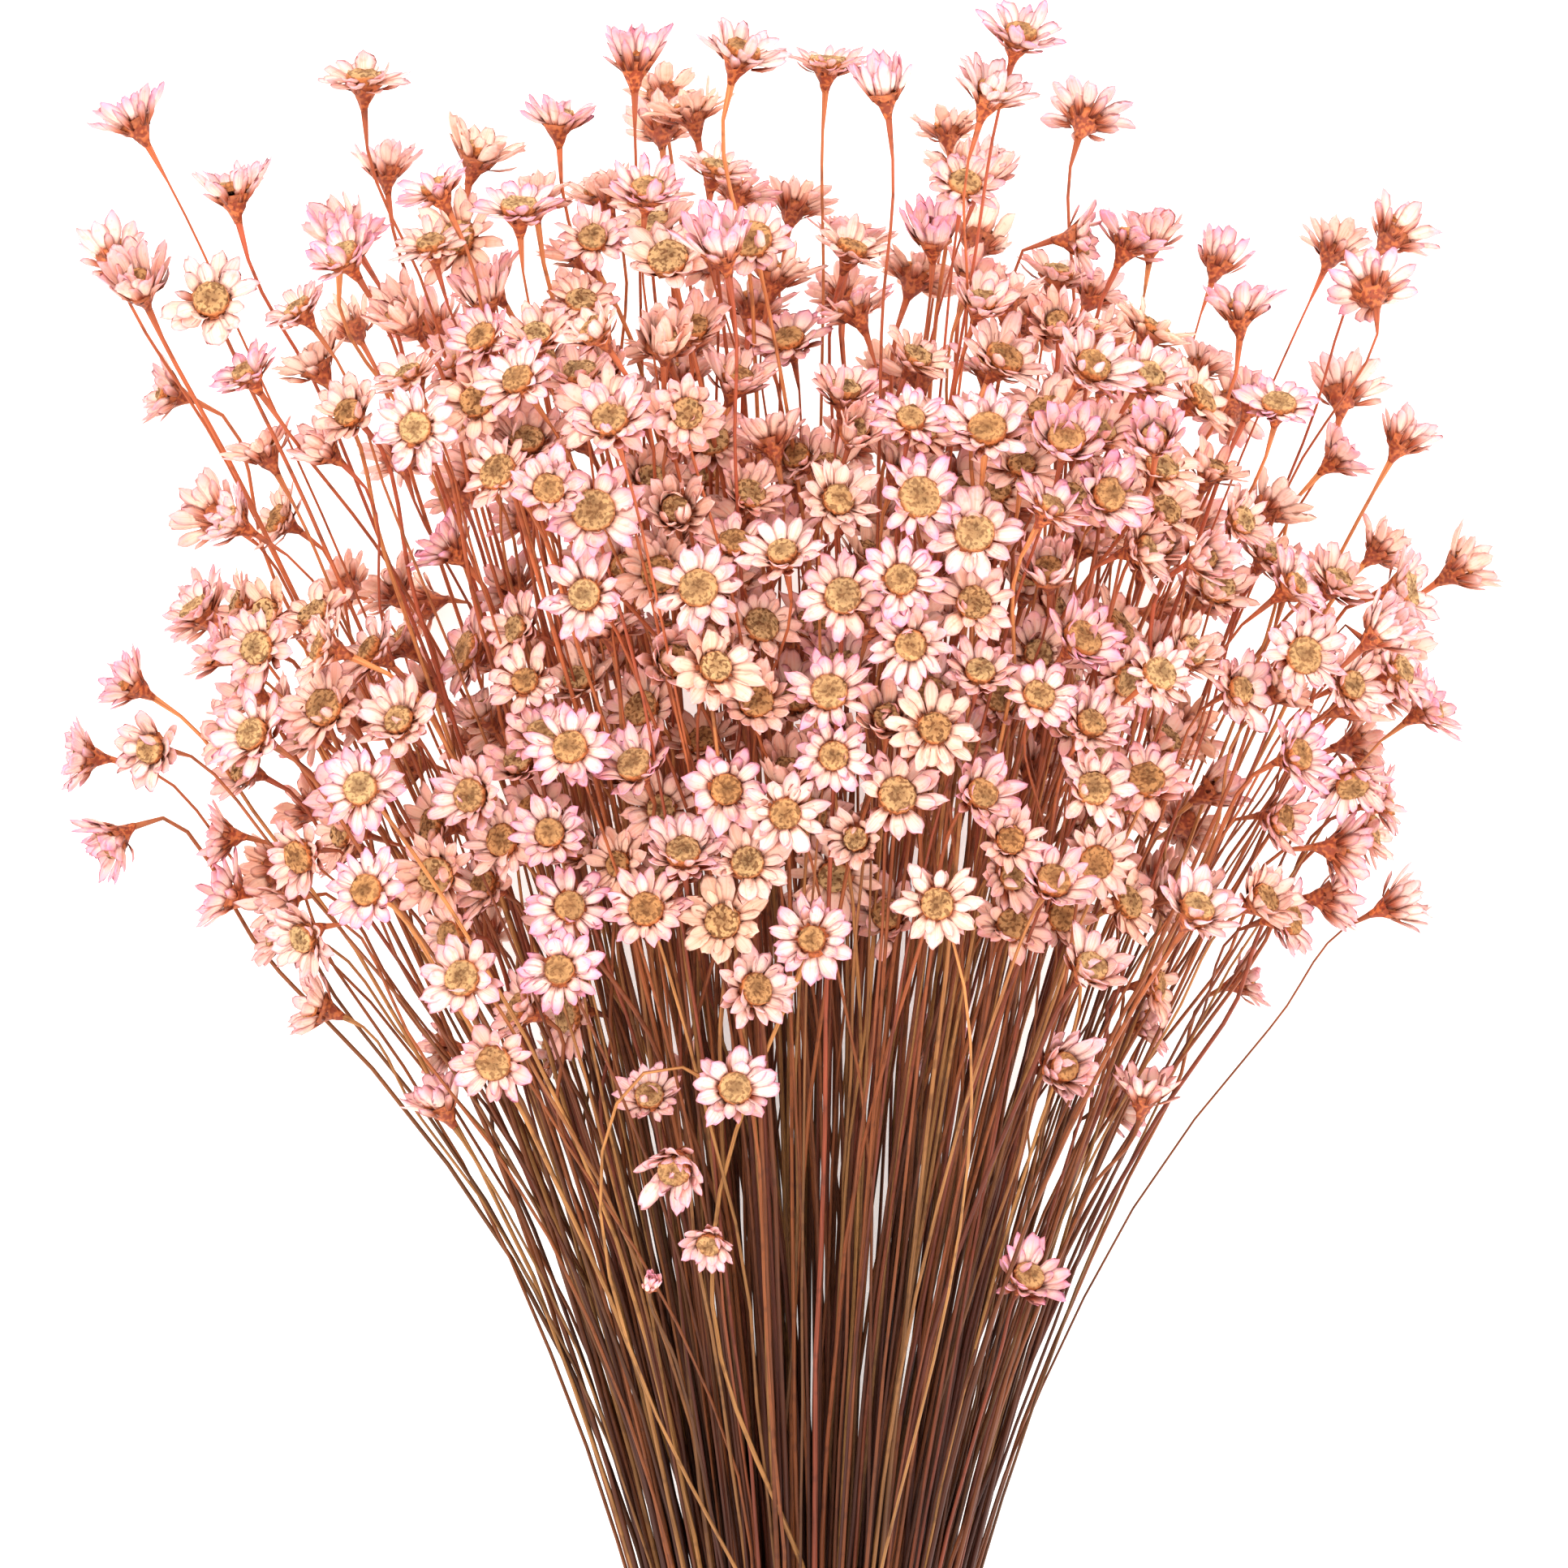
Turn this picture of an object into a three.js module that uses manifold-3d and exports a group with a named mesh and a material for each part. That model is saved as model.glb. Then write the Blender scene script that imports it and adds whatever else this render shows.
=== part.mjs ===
// Dried marcela: a cut bunch of small papery daisies on thin wiry stems, tied round its waist
// and lying on its side. Millimetres, +Y along the stems towards the heads, +Z up, surface at z = 0.
// The stems fan out from the tie like a fountain. Each spray is the few stems that share one
// strand of the tied waist, with their heads, grown together as one solid.
import * as THREE from "three";
import { mergeVertices } from "three/addons/utils/BufferGeometryUtils.js";
import Module from "manifold-3d";

// Driving sizes of the tied waist
const STRAND_PITCH = 2.9;
const STRAND_RADIUS = 1.5;
const STRAND_BELOW_TIE = 50;
const STRAND_TOP = 26;
const LATTICE_REACH = 13.5;
const WAIST_RADIUS = Math.sqrt(13) * STRAND_PITCH;
const TIE_GAP = 0.35;
const TIE_RADIUS = 14;
const TIE_HALF_WIDTH = 7;
const TIE_TURNS = 3;
const TIE_GROOVE = 0.6;
const TIE_SIDES = 16;

// Where the fountain of stems starts, measured from the tie's middle, and how it opens:
// half width and half depth are waist radius + slope * s + bend * s * s at s above the start
const FAN_START = 8;
const WIDTH_SLOPE = 0.112;
const WIDTH_BEND = 0.00071;
const DEPTH_SLOPE = 0.075;
const DEPTH_BEND = 0.0005;
const RISE_SLOPE = 0.068;
const RISE_BEND = 0.00045;
const UNDERSIDE = 0.85;

// The photo's lower edge lies this far above the fan's start; heads are measured from that edge
const EDGE_ABOVE_START = 87;

// Stems and heads
const STEM_RADIUS = 0.58;
const ROOT_RADIUS = 0.42;
const ROOT_PLACES = 6;
const ROOT_OFF = STRAND_RADIUS / Math.sqrt(3);
const WAVE = 0.05;
const HEAD_RADIUS = 7.1;
const CALYX_HEIGHT = 4.4;
const CALYX_FOOT = 0.75;
const NOTCH_SHARE = 0.7;
const NOTCH_LIFT = 0.8;
const DISC_SHARE = 0.38;
const DISC_RISE = 0.8;
const DISC_LIFT = 0.2;

// Clear space kept between heads and stems, and between two stems that share a strand
const GAP = 0.3;
const OWN_GAP = 0.05;

// Petals may be pressed this far into the surface, where they are then cut flat
const SINK = 1.2;

// How the bunch is filled
const SEED = 20261127;
const TRIES = 80;
const INNER_PETALS = 5;
const OUTER_PETALS = 6;
const SHOWN_PETALS = 7;
const SKIRT_ROUNDS = 3;
const CROWN_ROUNDS = 5;
const DEPTH_SHIFTS = [0, 0.06, -0.06, 0.12, -0.12, 0.2, -0.2, 0.3, -0.3, 0.45, -0.45];

// Heads that the photo shows clearly: across and above its lower edge, depth from -1 at the
// back to 1 at the front, the way they face in the picture (0 right, 90 up), how far they turn
// towards the viewer (90 full face, -90 from behind), and how far the petals stand up
const SHOWN = [
  [-26, 229, 0.1, 90, 5, 40], [-10, 228, 0.3, 70, 25, 20], [3, 230, -0.1, 85, 15, 10],
  [-67, 227, 0, 88, 20, 10], [-102, 221, 0, 120, 0, 35], [-107, 202, -0.2, 110, -40, 35],
  [-66, 217, -0.5, 95, -10, 35], [-86, 209, 0.2, 100, 5, 35], [-50, 216, 0, 70, 15, 30],
  [-52, 202, 0.3, 140, 60, 8], [-71, 204, -0.1, 80, 5, 35], [-100, 195, 0.3, 110, 45, 50],
  [-88, 192, 0.5, 100, 70, 10], [-100, 182, -0.4, 165, 10, 30], [23, 209, 0.4, 80, 50, 8],
  [41, 203, 0.1, 0, 10, 15], [53, 205, -0.2, 85, 10, 40], [66, 193, 0, 90, 0, 30],
  [86, 196, 0, 100, -50, 20], [91, 206, -0.3, 50, -20, 30], [84, 182, -0.4, 80, -30, 30],
  [92, 174, -0.1, 60, -10, 35], [36, 193, -0.5, 90, -70, 20], [67, 180, -0.5, 90, -70, 15],
  [101, 154, 0, 30, 0, 35], [90, 150, 0.4, 10, 20, 20], [88, 140, 0, -60, 20, 30],
  [83, 121, 0.4, -80, 45, 20], [81, 103, 0.3, 0, -5, 35], [74, 140, 0.7, 0, 70, 10],
  [52, 73, 0.5, 80, 10, 30], [34, 44, 0.8, 60, 50, 30],
  [-91, 162, 0, 150, -30, 30], [-82, 171, 0.4, 120, 5, 20], [-93, 147, 0.3, 130, 20, 20],
  [-82, 141, 0.7, 170, 60, 15], [-104, 136, 0.2, 150, 10, 35], [-99, 126, 0.5, 180, 60, 20],
  [-113, 125, -0.1, 175, 10, 25], [-108, 112, 0.1, 215, 20, 30], [-82, 128, 1, 150, 50, 15],
  [-76, 110, 0.8, 200, 50, 20], [-83, 107, 0, 200, -40, 25], [-75, 98, 1, 210, 45, 20],
  [-76, 86, 0.3, 160, 10, 30], [-57, 71, 0.4, 120, 5, 35],
  [-29, 174, 1.05, 90, 80, 8], [-31, 160, 1.15, 90, 80, 8], [-48, 176, 0.9, 120, 70, 8],
  [-16, 149, 1.15, 90, 75, 8], [5, 148, 1.15, 90, 78, 10], [16, 162, 1.05, 60, 70, 10],
  [24, 147, 1.1, 60, 72, 8], [18, 134, 1.15, 80, 75, 10], [3, 134, 1.15, 90, 72, 12],
  [-35, 126, 1.15, 110, 70, 10], [-66, 120, 1.15, 130, 70, 10], [-65, 105, 1.25, 150, 65, 12],
  [-72, 132, 1.1, 140, 60, 15], [-22, 117, 1.2, 100, 78, 8], [-9, 109, 1.25, 90, 72, 10],
  [-3, 122, 1.2, 90, 40, 50], [4, 107, 1.3, 260, 65, 10], [13, 119, 1.2, 60, 72, 10],
  [19, 103, 1.35, 90, 85, 8], [42, 120, 1.15, 60, 72, 10], [-24, 102, 1.25, 110, 70, 12],
  [-51, 92, 1.3, 150, 68, 10], [-37, 93, 1.3, 120, 75, 10], [-47, 79, 1.35, 200, 75, 12],
  [-8, 90, 1.3, 20, 60, 15], [-11, 75, 1.35, 60, 75, 10], [-20, 63, 1.4, 250, 55, 40],
  [36, 106, 1.2, 60, 55, 35], [42, 93, 1.2, 50, 50, 35], [37, 170, 1, 80, 55, 45],
  [30, 163, 0.3, 90, -50, 20], [49, 155, 0.9, 10, 30, 15], [34, 140, 1.1, 40, 65, 12],
  [61, 150, 0.8, 60, 50, 20], [73, 125, 0.8, 20, 40, 25], [69, 103, 0.7, 30, 40, 30],
  [57, 102, 1, 60, 40, 30],
];

// Heads on the underside that carry the bunch: the same six values
const CARRYING = [
  [-62, 150, -1.14, 190, -20, 20], [58, 148, -1.14, -10, -20, 20], [0, 165, -1.14, 90, -30, 20],
  [-35, 120, -1.22, 180, -40, 20], [36, 118, -1.22, 0, -40, 20],
];

const PINK = 0xe9bfc4;
const TWINE = 0xb59a6d;

// A seeded draw between 0 and 1
let seed = SEED;
function draw() {
  seed = (seed * 16807) % 2147483647;
  return seed / 2147483647;
}

// Small vector helpers on [x, y, z]
const ALONG = [0, 1, 0];
const add = (a, b, k = 1) => [a[0] + b[0] * k, a[1] + b[1] * k, a[2] + b[2] * k];
const sub = (a, b) => [a[0] - b[0], a[1] - b[1], a[2] - b[2]];
const dot = (a, b) => a[0] * b[0] + a[1] * b[1] + a[2] * b[2];
const unit = (a) => a.map((value) => value / Math.sqrt(dot(a, a)));
const clamp = (value) => Math.min(1, Math.max(0, value));

function cross(a, b) {
  return [a[1] * b[2] - a[2] * b[1], a[2] * b[0] - a[0] * b[2], a[0] * b[1] - a[1] * b[0]];
}

// The fountain's half width, half depth and middle height at s above the fan's start
const halfWidth = (s) => WAIST_RADIUS + WIDTH_SLOPE * s + WIDTH_BEND * s * s;
const halfDepth = (s) => WAIST_RADIUS + DEPTH_SLOPE * s + DEPTH_BEND * s * s;
const middleHeight = (s) => TIE_RADIUS + RISE_SLOPE * s + RISE_BEND * s * s;

// A point of the fountain: u across and v up in the round waist, s along the stems
function fountain(u, v, s) {
  const depth = v < 0 ? v * (1 - (1 - UNDERSIDE) * clamp(s / 100)) : v;
  return [u * halfWidth(s), FAN_START + s, middleHeight(s) + depth * halfDepth(s)];
}

// The strands of the waist lie on a triangular lattice inside a circle
function strandCentres() {
  const centres = [];
  for (let row = -4; row <= 4; row += 1) {
    for (let step = -6; step <= 6; step += 1) {
      const across = step + (row % 2 === 0 ? 0 : 0.5);
      const up = (row * Math.sqrt(3)) / 2;
      if (across * across + up * up < LATTICE_REACH) {
        centres.push([across, up].map((value) => (value * STRAND_PITCH) / WAIST_RADIUS));
      }
    }
  }
  return centres;
}

// The direction that a head faces, from its two angles
function facing(turn, tilt) {
  const [a, b] = [turn, tilt].map(THREE.MathUtils.degToRad);
  return [Math.cos(b) * Math.cos(a), Math.cos(b) * Math.sin(a), Math.sin(b)];
}

// The six root places of a strand lie round its middle
const placeAngle = (place) => ((place + 1) * Math.PI) / 3;

// The free root place that lies nearest the way a stem leans
function rootPlace(du, dv, taken) {
  let best = 0;
  let most = -1e9;
  for (let place = 0; place < ROOT_PLACES; place += 1) {
    const along = du * Math.cos(placeAngle(place)) - dv * Math.sin(placeAngle(place));
    if (!taken.includes(place) && along > most) {
      best = place;
      most = along;
    }
  }
  return best;
}

// A stem with its head: goal is the head's place in the fountain, u across, v up and s along
function sprig(strand, goal, face, size, cup, petals, taken, wave) {
  const [u, v, s] = goal;
  const place = rootPlace(u - strand[0], v - strand[1], taken);
  const off = ROOT_OFF / WAIST_RADIUS;
  const u0 = strand[0] + off * Math.cos(placeAngle(place));
  const v0 = strand[1] - off * Math.sin(placeAngle(place));
  const arched = Math.sqrt(u * u + v * v) > 1.02;
  const late = arched ? 2.6 : 1.15;
  const shares = arched ? [0, 0.5, 0.82] : [0, 0.52];
  const path = shares.map((t, i) => {
    const k = Math.pow(t, late);
    const [wu, wv] = i === 1 ? wave : [0, 0];
    const level = STRAND_TOP + (s - STRAND_TOP) * t;
    return fountain(u0 + (u - u0) * k + wu, v0 + (v - v0) * k + wv, level);
  });
  const centre = fountain(u, v, s);
  const foot = add(centre, face, -CALYX_HEIGHT * size);
  path.push(foot);
  return { path, centre, face, size, cup, petals, place, radius: HEAD_RADIUS * size };
}

// The directions of a stem at its path's points, with its head's at the last, and the side
// direction that each ring starts from, carried from ring to ring without a twist
function courses(one) {
  const { path, face, place } = one;
  const steps = path.slice(1).map((point, i) => unit(sub(point, path[i])));
  const ways = path.map((_, i) => {
    if (i === 0) return ALONG;
    return unit(add(steps[i - 1], i < steps.length ? steps[i] : face));
  });
  ways.push(face);
  let side = [-Math.cos(placeAngle(place)), 0, Math.sin(placeAngle(place))];
  return ways.map((way) => {
    side = unit(add(side, way, -dot(side, way)));
    return [way, side];
  });
}

// A point of a head, at a radius from its middle, an angle round it and a rise towards its face
function onHead(one, radius, angle, rise) {
  const sideways = add(one.centre, one.side, radius * Math.cos(angle));
  const across = add(sideways, cross(one.face, one.side), radius * Math.sin(angle));
  return add(across, one.face, rise);
}

// The tip of a petal, and the notch between two petals
const petalTip = (one, angle) =>
  onHead(one, one.radius * Math.cos(one.cup), angle, one.radius * Math.sin(one.cup));
const petalNotch = (one, angle) => {
  const notch = one.radius * NOTCH_SHARE;
  return onHead(one, notch, angle, NOTCH_LIFT * notch * Math.sin(one.cup));
};

// The radius of a stem at its path's points: thin at the root, thickest where the calyx starts
function stemRadius(i, last) {
  if (i === 0) return ROOT_RADIUS;
  return i === last ? CALYX_FOOT : STEM_RADIUS;
}

// A sprig as tapered round runs [from, to, radius, radius]: its stem, its calyx, its petals and
// the webs between them
function keepClear(one) {
  const { path, centre, face, size, petals, radius } = one;
  const widths = path.map((_, i) => stemRadius(i, path.length - 1));
  const runs = path.slice(1).map((point, i) => [path[i], point, widths[i], widths[i + 1]]);
  runs.push([
    path[path.length - 1], add(centre, face, -size), CALYX_FOOT, DISC_SHARE * radius,
  ]);
  for (let k = 0; k < petals; k += 1) {
    const angle = (2 * Math.PI * k) / petals;
    const between = angle + Math.PI / petals;
    const petalFoot = onHead(one, 0.5 * radius, angle, -0.3 * size);
    const webFoot = onHead(one, 0.4 * radius, between, -0.3 * size);
    runs.push([petalFoot, petalTip(one, angle), 0.28 * radius, 0.08 * radius]);
    runs.push([webFoot, petalNotch(one, between), 0.2 * radius, 0.02 * radius]);
  }
  return runs;
}

// The box round a run, as its lowest and highest corner
function runBox([p, q, a, b]) {
  return [
    p.map((value, i) => Math.min(value - a, q[i] - b)),
    p.map((value, i) => Math.max(value + a, q[i] + b)),
  ];
}

// Whether two boxes come nearer each other than a gap
function boxesMeet(a, b, gap) {
  return a[0].every((low, i) => low < b[1][i] + gap && b[0][i] < a[1][i] + gap);
}

// The clear space between two tapered runs
function runGap([p, p2, pa, pb], [q, q2, qa, qb]) {
  const u = sub(p2, p);
  const v = sub(q2, q);
  const w = sub(p, q);
  const [a, b, c, d, e] = [dot(u, u), dot(u, v), dot(v, v), dot(u, w), dot(v, w)];
  let s = clamp((b * e - c * d) / Math.max(a * c - b * b, 1e-9));
  const t = clamp((b * s + e) / c);
  s = clamp((b * t - d) / a);
  const away = add(add(w, u, s), v, -t);
  return Math.sqrt(dot(away, away)) - pa - (pb - pa) * s - qa - (qb - qa) * t;
}

// Whether a new sprig clears every other one
function fits(candidate, spray, placed) {
  return placed.every((other) => {
    if (!boxesMeet(candidate.box, other.box, GAP)) return true;
    return candidate.runs.every((run, i) => {
      if (!boxesMeet(candidate.boxes[i], other.box, GAP)) return true;
      return other.runs.every((run2, j) => {
        if (!boxesMeet(candidate.boxes[i], other.boxes[j], GAP)) return true;
        const stems = i < candidate.path.length - 1 && j < other.path.length - 1;
        return runGap(run, run2) > (stems && other.spray === spray ? OWN_GAP : GAP);
      });
    });
  });
}

// Whether a sprig's stem keeps clear of its own petals, which a head turned back would cross
function clearsItself(one) {
  const stems = one.path.length - 1;
  const petals = one.runs.slice(stems + 1);
  return one.runs.slice(0, stems).every((stem) =>
    petals.every((petal) => runGap(stem, petal) > OWN_GAP),
  );
}

// The root places of a spray that already hold a stem
function takenPlaces(spray, placed) {
  return placed.filter((one) => one.spray === spray).map((one) => one.place);
}

// Adds the sprig to those placed if it is clear of them
function settle(candidate, spray, placed) {
  candidate.courses = courses(candidate);
  candidate.side = candidate.courses[candidate.courses.length - 1][1];
  candidate.runs = keepClear(candidate);
  candidate.boxes = candidate.runs.map(runBox);
  candidate.box = [
    [0, 1, 2].map((i) => Math.min(...candidate.boxes.map((box) => box[0][i]))),
    [0, 1, 2].map((i) => Math.max(...candidate.boxes.map((box) => box[1][i]))),
  ];
  if (candidate.box[0][2] < -SINK || !clearsItself(candidate)) return false;
  if (!fits(candidate, spray, placed)) return false;
  candidate.spray = spray;
  placed.push(candidate);
  return true;
}

// A head of the lists goes to the nearest strand with a free root, at the first depth near its
// own that is clear
function placeListed(rows, strands, placed, petals) {
  for (const [x, y, depth, turn, tilt, lift] of rows) {
    const s = y + EDGE_ABOVE_START;
    const size = 0.92 + 0.18 * draw();
    const face = facing(turn, tilt);
    const cup = THREE.MathUtils.degToRad(lift);
    for (const shift of DEPTH_SHIFTS) {
      const u = x / halfWidth(s);
      const v = depth + shift;
      const near = Math.max(1, Math.sqrt(u * u + v * v));
      const spans = strands.map(([cu, cv]) => (cu - u / near) ** 2 + (cv - v / near) ** 2);
      const index = spans.indexOf(Math.min(...spans));
      const taken = takenPlaces(index, placed);
      if (taken.length >= ROOT_PLACES) continue;
      const made = sprig(strands[index], [u, v, s], face, size, cup, petals, taken, [0, 0]);
      if (settle(made, index, placed)) break;
    }
  }
}

// One more head for a strand, at the first of its drawn places that is clear
function grow(strands, index, placed, reachOut, low, high) {
  const [cu, cv] = strands[index];
  const taken = takenPlaces(index, placed);
  if (taken.length >= ROOT_PLACES) return;
  for (let attempt = 0; attempt < TRIES; attempt += 1) {
    const [a, b, c, d, e, f, g] = [draw(), draw(), draw(), draw(), draw(), draw(), draw()];
    const wave = [WAVE * (draw() - 0.5) * 2, WAVE * (draw() - 0.5) * 2];
    const stray = (0.04 + 0.16 * b) * (1 + attempt / TRIES);
    const u = cu * reachOut + stray * Math.cos(2 * Math.PI * a);
    const v = cv * reachOut + stray * Math.sin(2 * Math.PI * a);
    const s = low + (high - low) * c;
    const face = unit([
      0.9 * u + 0.7 * (d - 0.5),
      0.25 + 0.9 * ((s - 180) / 140) + 0.5 * (e - 0.5),
      1.1 * v + 0.7 * (f - 0.5),
    ]);
    const size = 0.86 + 0.24 * g;
    const cup = b < 0.12 ? 0.85 : 0.12 + 0.4 * e;
    const petals = cu * cu + cv * cv > 0.36 ? OUTER_PETALS : INNER_PETALS;
    const made = sprig(strands[index], [u, v, s], face, size, cup, petals, taken, wave);
    if (settle(made, index, placed)) return;
  }
}

// The rest fill a skirt of arched stems round the outside, and then every strand's column of
// the crown, in turns from its lowest level to its highest
function fillSprays(strands, placed) {
  const rims = strands.map(([u, v]) => Math.sqrt(u * u + v * v));
  for (let round = 0; round < SKIRT_ROUNDS; round += 1) {
    rims.forEach((rim, index) => {
      const low = 155 + 30 * round;
      if (rim > 0.8) grow(strands, index, placed, 1.22, low, low + 45);
    });
  }
  for (let round = 0; round < CROWN_ROUNDS; round += 1) {
    rims.forEach((rim, index) => {
      const low = 236 - 40 * rim * rim;
      const step = (318 - 26 * rim * rim - low) / CROWN_ROUNDS;
      grow(strands, index, placed, 1.03, low + step * (round - 0.3), low + step * (round + 1.3));
    });
  }
}

// The skin of a spray, put together from loops of points
class Skin {
  points = [];
  faces = [];

  // Keeps a loop's points and returns where they start and how many they are
  loop(points) {
    const start = this.points.length;
    this.points.push(...points);
    return points.map((_, i) => start + i);
  }

  // Triangles between two loops of any counts that run the same way round
  bridge(lower, upper) {
    const [m, n] = [lower.length, upper.length];
    let [i, j] = [0, 0];
    while (i < m || j < n) {
      if (j >= n || (i < m && (i + 0.5) * n < (j + 0.5) * m)) {
        this.faces.push(lower[i % m], lower[(i + 1) % m], upper[j % n]);
        i += 1;
      } else {
        this.faces.push(lower[i % m], upper[(j + 1) % n], upper[j % n]);
        j += 1;
      }
    }
  }

  // A flat fan that closes a loop
  close(loop) {
    for (let i = 1; i < loop.length - 1; i += 1) this.faces.push(loop[0], loop[i], loop[i + 1]);
  }

  geometry() {
    const made = new THREE.BufferGeometry();
    made.setAttribute("position", new THREE.Float32BufferAttribute(this.points.flat(), 3));
    made.setIndex(this.faces);
    return made;
  }
}

// A ring of three points round a stem
function stemRing(point, [way, side], radius) {
  const across = cross(way, side);
  return [0, 1, 2].map((k) => {
    const angle = (2 * Math.PI * k) / 3;
    return add(add(point, side, radius * Math.cos(angle)), across, radius * Math.sin(angle));
  });
}

// The petals' outline, tip and notch by turns, and the rim of the raised disc
function headRings(one) {
  const { size, cup, petals, radius } = one;
  const rise = DISC_RISE * size + DISC_LIFT * radius * Math.sin(cup);
  const outline = Array.from({ length: 2 * petals }, (_, i) => {
    const angle = (Math.PI * i) / petals;
    return i % 2 === 0 ? petalTip(one, angle) : petalNotch(one, angle);
  });
  const disc = Array.from({ length: petals }, (_, i) =>
    onHead(one, radius * DISC_SHARE, (2 * Math.PI * i) / petals, rise),
  );
  return [outline, disc];
}

// A six-sided section of a strand in the fountain, or straight below its start
function strandSection([u, v], level) {
  const off = STRAND_RADIUS / WAIST_RADIUS;
  return Array.from({ length: 6 }, (_, k) => {
    const angle = (k + 0.5) * (Math.PI / 3);
    const place = [u + off * Math.cos(angle), v - off * Math.sin(angle)];
    const point = fountain(...place, Math.max(level, 0));
    return level < 0 ? add(point, ALONG, level) : point;
  });
}

// One spray: a strand from its cut end through the tie, which opens and leans with the fountain,
// and the stems that grow on from the six sectors of its end
function spraySkin(strand, sprigs) {
  const skin = new Skin();
  const levels = [-STRAND_BELOW_TIE - FAN_START, 0, STRAND_TOP];
  const sections = levels.map((level) => skin.loop(strandSection(strand, level)));
  skin.close([...sections[0]].reverse());
  skin.bridge(sections[0], sections[1]);
  skin.bridge(sections[1], sections[2]);
  const [middle] = skin.loop([fountain(...strand, STRAND_TOP)]);
  for (let place = 0; place < ROOT_PLACES; place += 1) {
    const corners = [sections[2][place], sections[2][(place + 1) % ROOT_PLACES]];
    const sector = [middle, ...corners];
    const one = sprigs.find((candidate) => candidate.place === place);
    if (!one) {
      skin.close(sector);
      continue;
    }
    let below = sector;
    one.path.forEach((point, i) => {
      const radius = stemRadius(i, one.path.length - 1);
      const loop = skin.loop(stemRing(point, one.courses[i], radius));
      skin.bridge(below, loop);
      below = loop;
    });
    headRings(one).forEach((points) => {
      const loop = skin.loop(points);
      skin.bridge(below, loop);
      below = loop;
    });
    skin.close(below);
  }
  return skin.geometry();
}

const wasm = await Module();
wasm.setup();

// A closed geometry as a solid that can be joined and cut
function solidOf(geometry) {
  const bare = geometry.clone();
  bare.deleteAttribute("normal");
  bare.deleteAttribute("uv");
  const merged = mergeVertices(bare, 1e-4);
  return new wasm.Manifold(
    new wasm.Mesh({
      numProp: 3,
      vertProperties: new Float32Array(merged.attributes.position.array),
      triVerts: new Uint32Array(merged.index.array),
    }),
  );
}

function geometryOf(solid) {
  const mesh = solid.getMesh();
  const geometry = new THREE.BufferGeometry();
  geometry.setAttribute("position", new THREE.BufferAttribute(mesh.vertProperties, 3));
  geometry.setIndex(new THREE.BufferAttribute(mesh.triVerts, 1));
  return geometry;
}

// The tie: a band of wound turns with flat backs and shallow grooves between them
function tieBand() {
  const inner = WAIST_RADIUS + STRAND_RADIUS + TIE_GAP;
  const outer = TIE_RADIUS / Math.cos(Math.PI / TIE_SIDES);
  const turn = (2 * TIE_HALF_WIDTH) / TIE_TURNS;
  const profile = [new THREE.Vector2(inner, -TIE_HALF_WIDTH)];
  for (let k = 0; k < TIE_TURNS; k += 1) {
    const low = -TIE_HALF_WIDTH + turn * k;
    profile.push(new THREE.Vector2(outer - TIE_GROOVE, low));
    profile.push(new THREE.Vector2(outer, low + turn * 0.3));
    profile.push(new THREE.Vector2(outer, low + turn * 0.7));
  }
  profile.push(new THREE.Vector2(outer - TIE_GROOVE, TIE_HALF_WIDTH));
  profile.push(new THREE.Vector2(inner, TIE_HALF_WIDTH));
  profile.push(profile[0].clone());
  const band = new THREE.LatheGeometry(profile, TIE_SIDES);
  band.rotateY(Math.PI / TIE_SIDES);
  band.translate(0, 0, TIE_RADIUS);
  return band;
}

// The sprays, each fused from its strand and its sprigs, and cut flat where petals are pressed
// on the surface below
const floorSlab = new THREE.BoxGeometry(600, 900, 40);
floorSlab.translate(0, 150, -20);
const floorSolid = solidOf(floorSlab);
const strands = strandCentres();
const placed = [];
placeListed(CARRYING, strands, placed, OUTER_PETALS);
placeListed(SHOWN, strands, placed, SHOWN_PETALS);
fillSprays(strands, placed);

const bunch = new THREE.Group();
strands.forEach((strand, index) => {
  const own = placed.filter((one) => one.spray === index);
  const solid = solidOf(spraySkin(strand, own)).subtract(floorSolid);
  const petalPaper = new THREE.MeshStandardMaterial({ color: PINK, roughness: 0.8, metalness: 0 });
  const mesh = new THREE.Mesh(geometryOf(solid), petalPaper);
  mesh.name = "spray_" + String(index + 1).padStart(2, "0");
  bunch.add(mesh);
});

const twine = new THREE.MeshStandardMaterial({ color: TWINE, roughness: 0.9, metalness: 0 });
const tie = new THREE.Mesh(tieBand(), twine);
tie.name = "tie";
bunch.add(tie);

// The frame: the middle of the bunch's box across and along, on the surface it lies on
const box = new THREE.Box3().setFromObject(bunch);
bunch.position.set(-(box.min.x + box.max.x) / 2, -(box.min.y + box.max.y) / 2, 0);

export default bunch;
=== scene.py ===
"""Dried marcela: a cut bunch of papery daisies on thin wiry stems, tied and laid on its side.

The heads and stems grow by the same seeded rule as the solids do, in the bunch's own
millimetres with the tie's middle at y = 0, and are moved into the frame in metres as the last
step. The finer pieces then keep each solid head's place, direction, size and cup.
"""

import logging
import math
from dataclasses import dataclass, field
from enum import Enum

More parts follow.
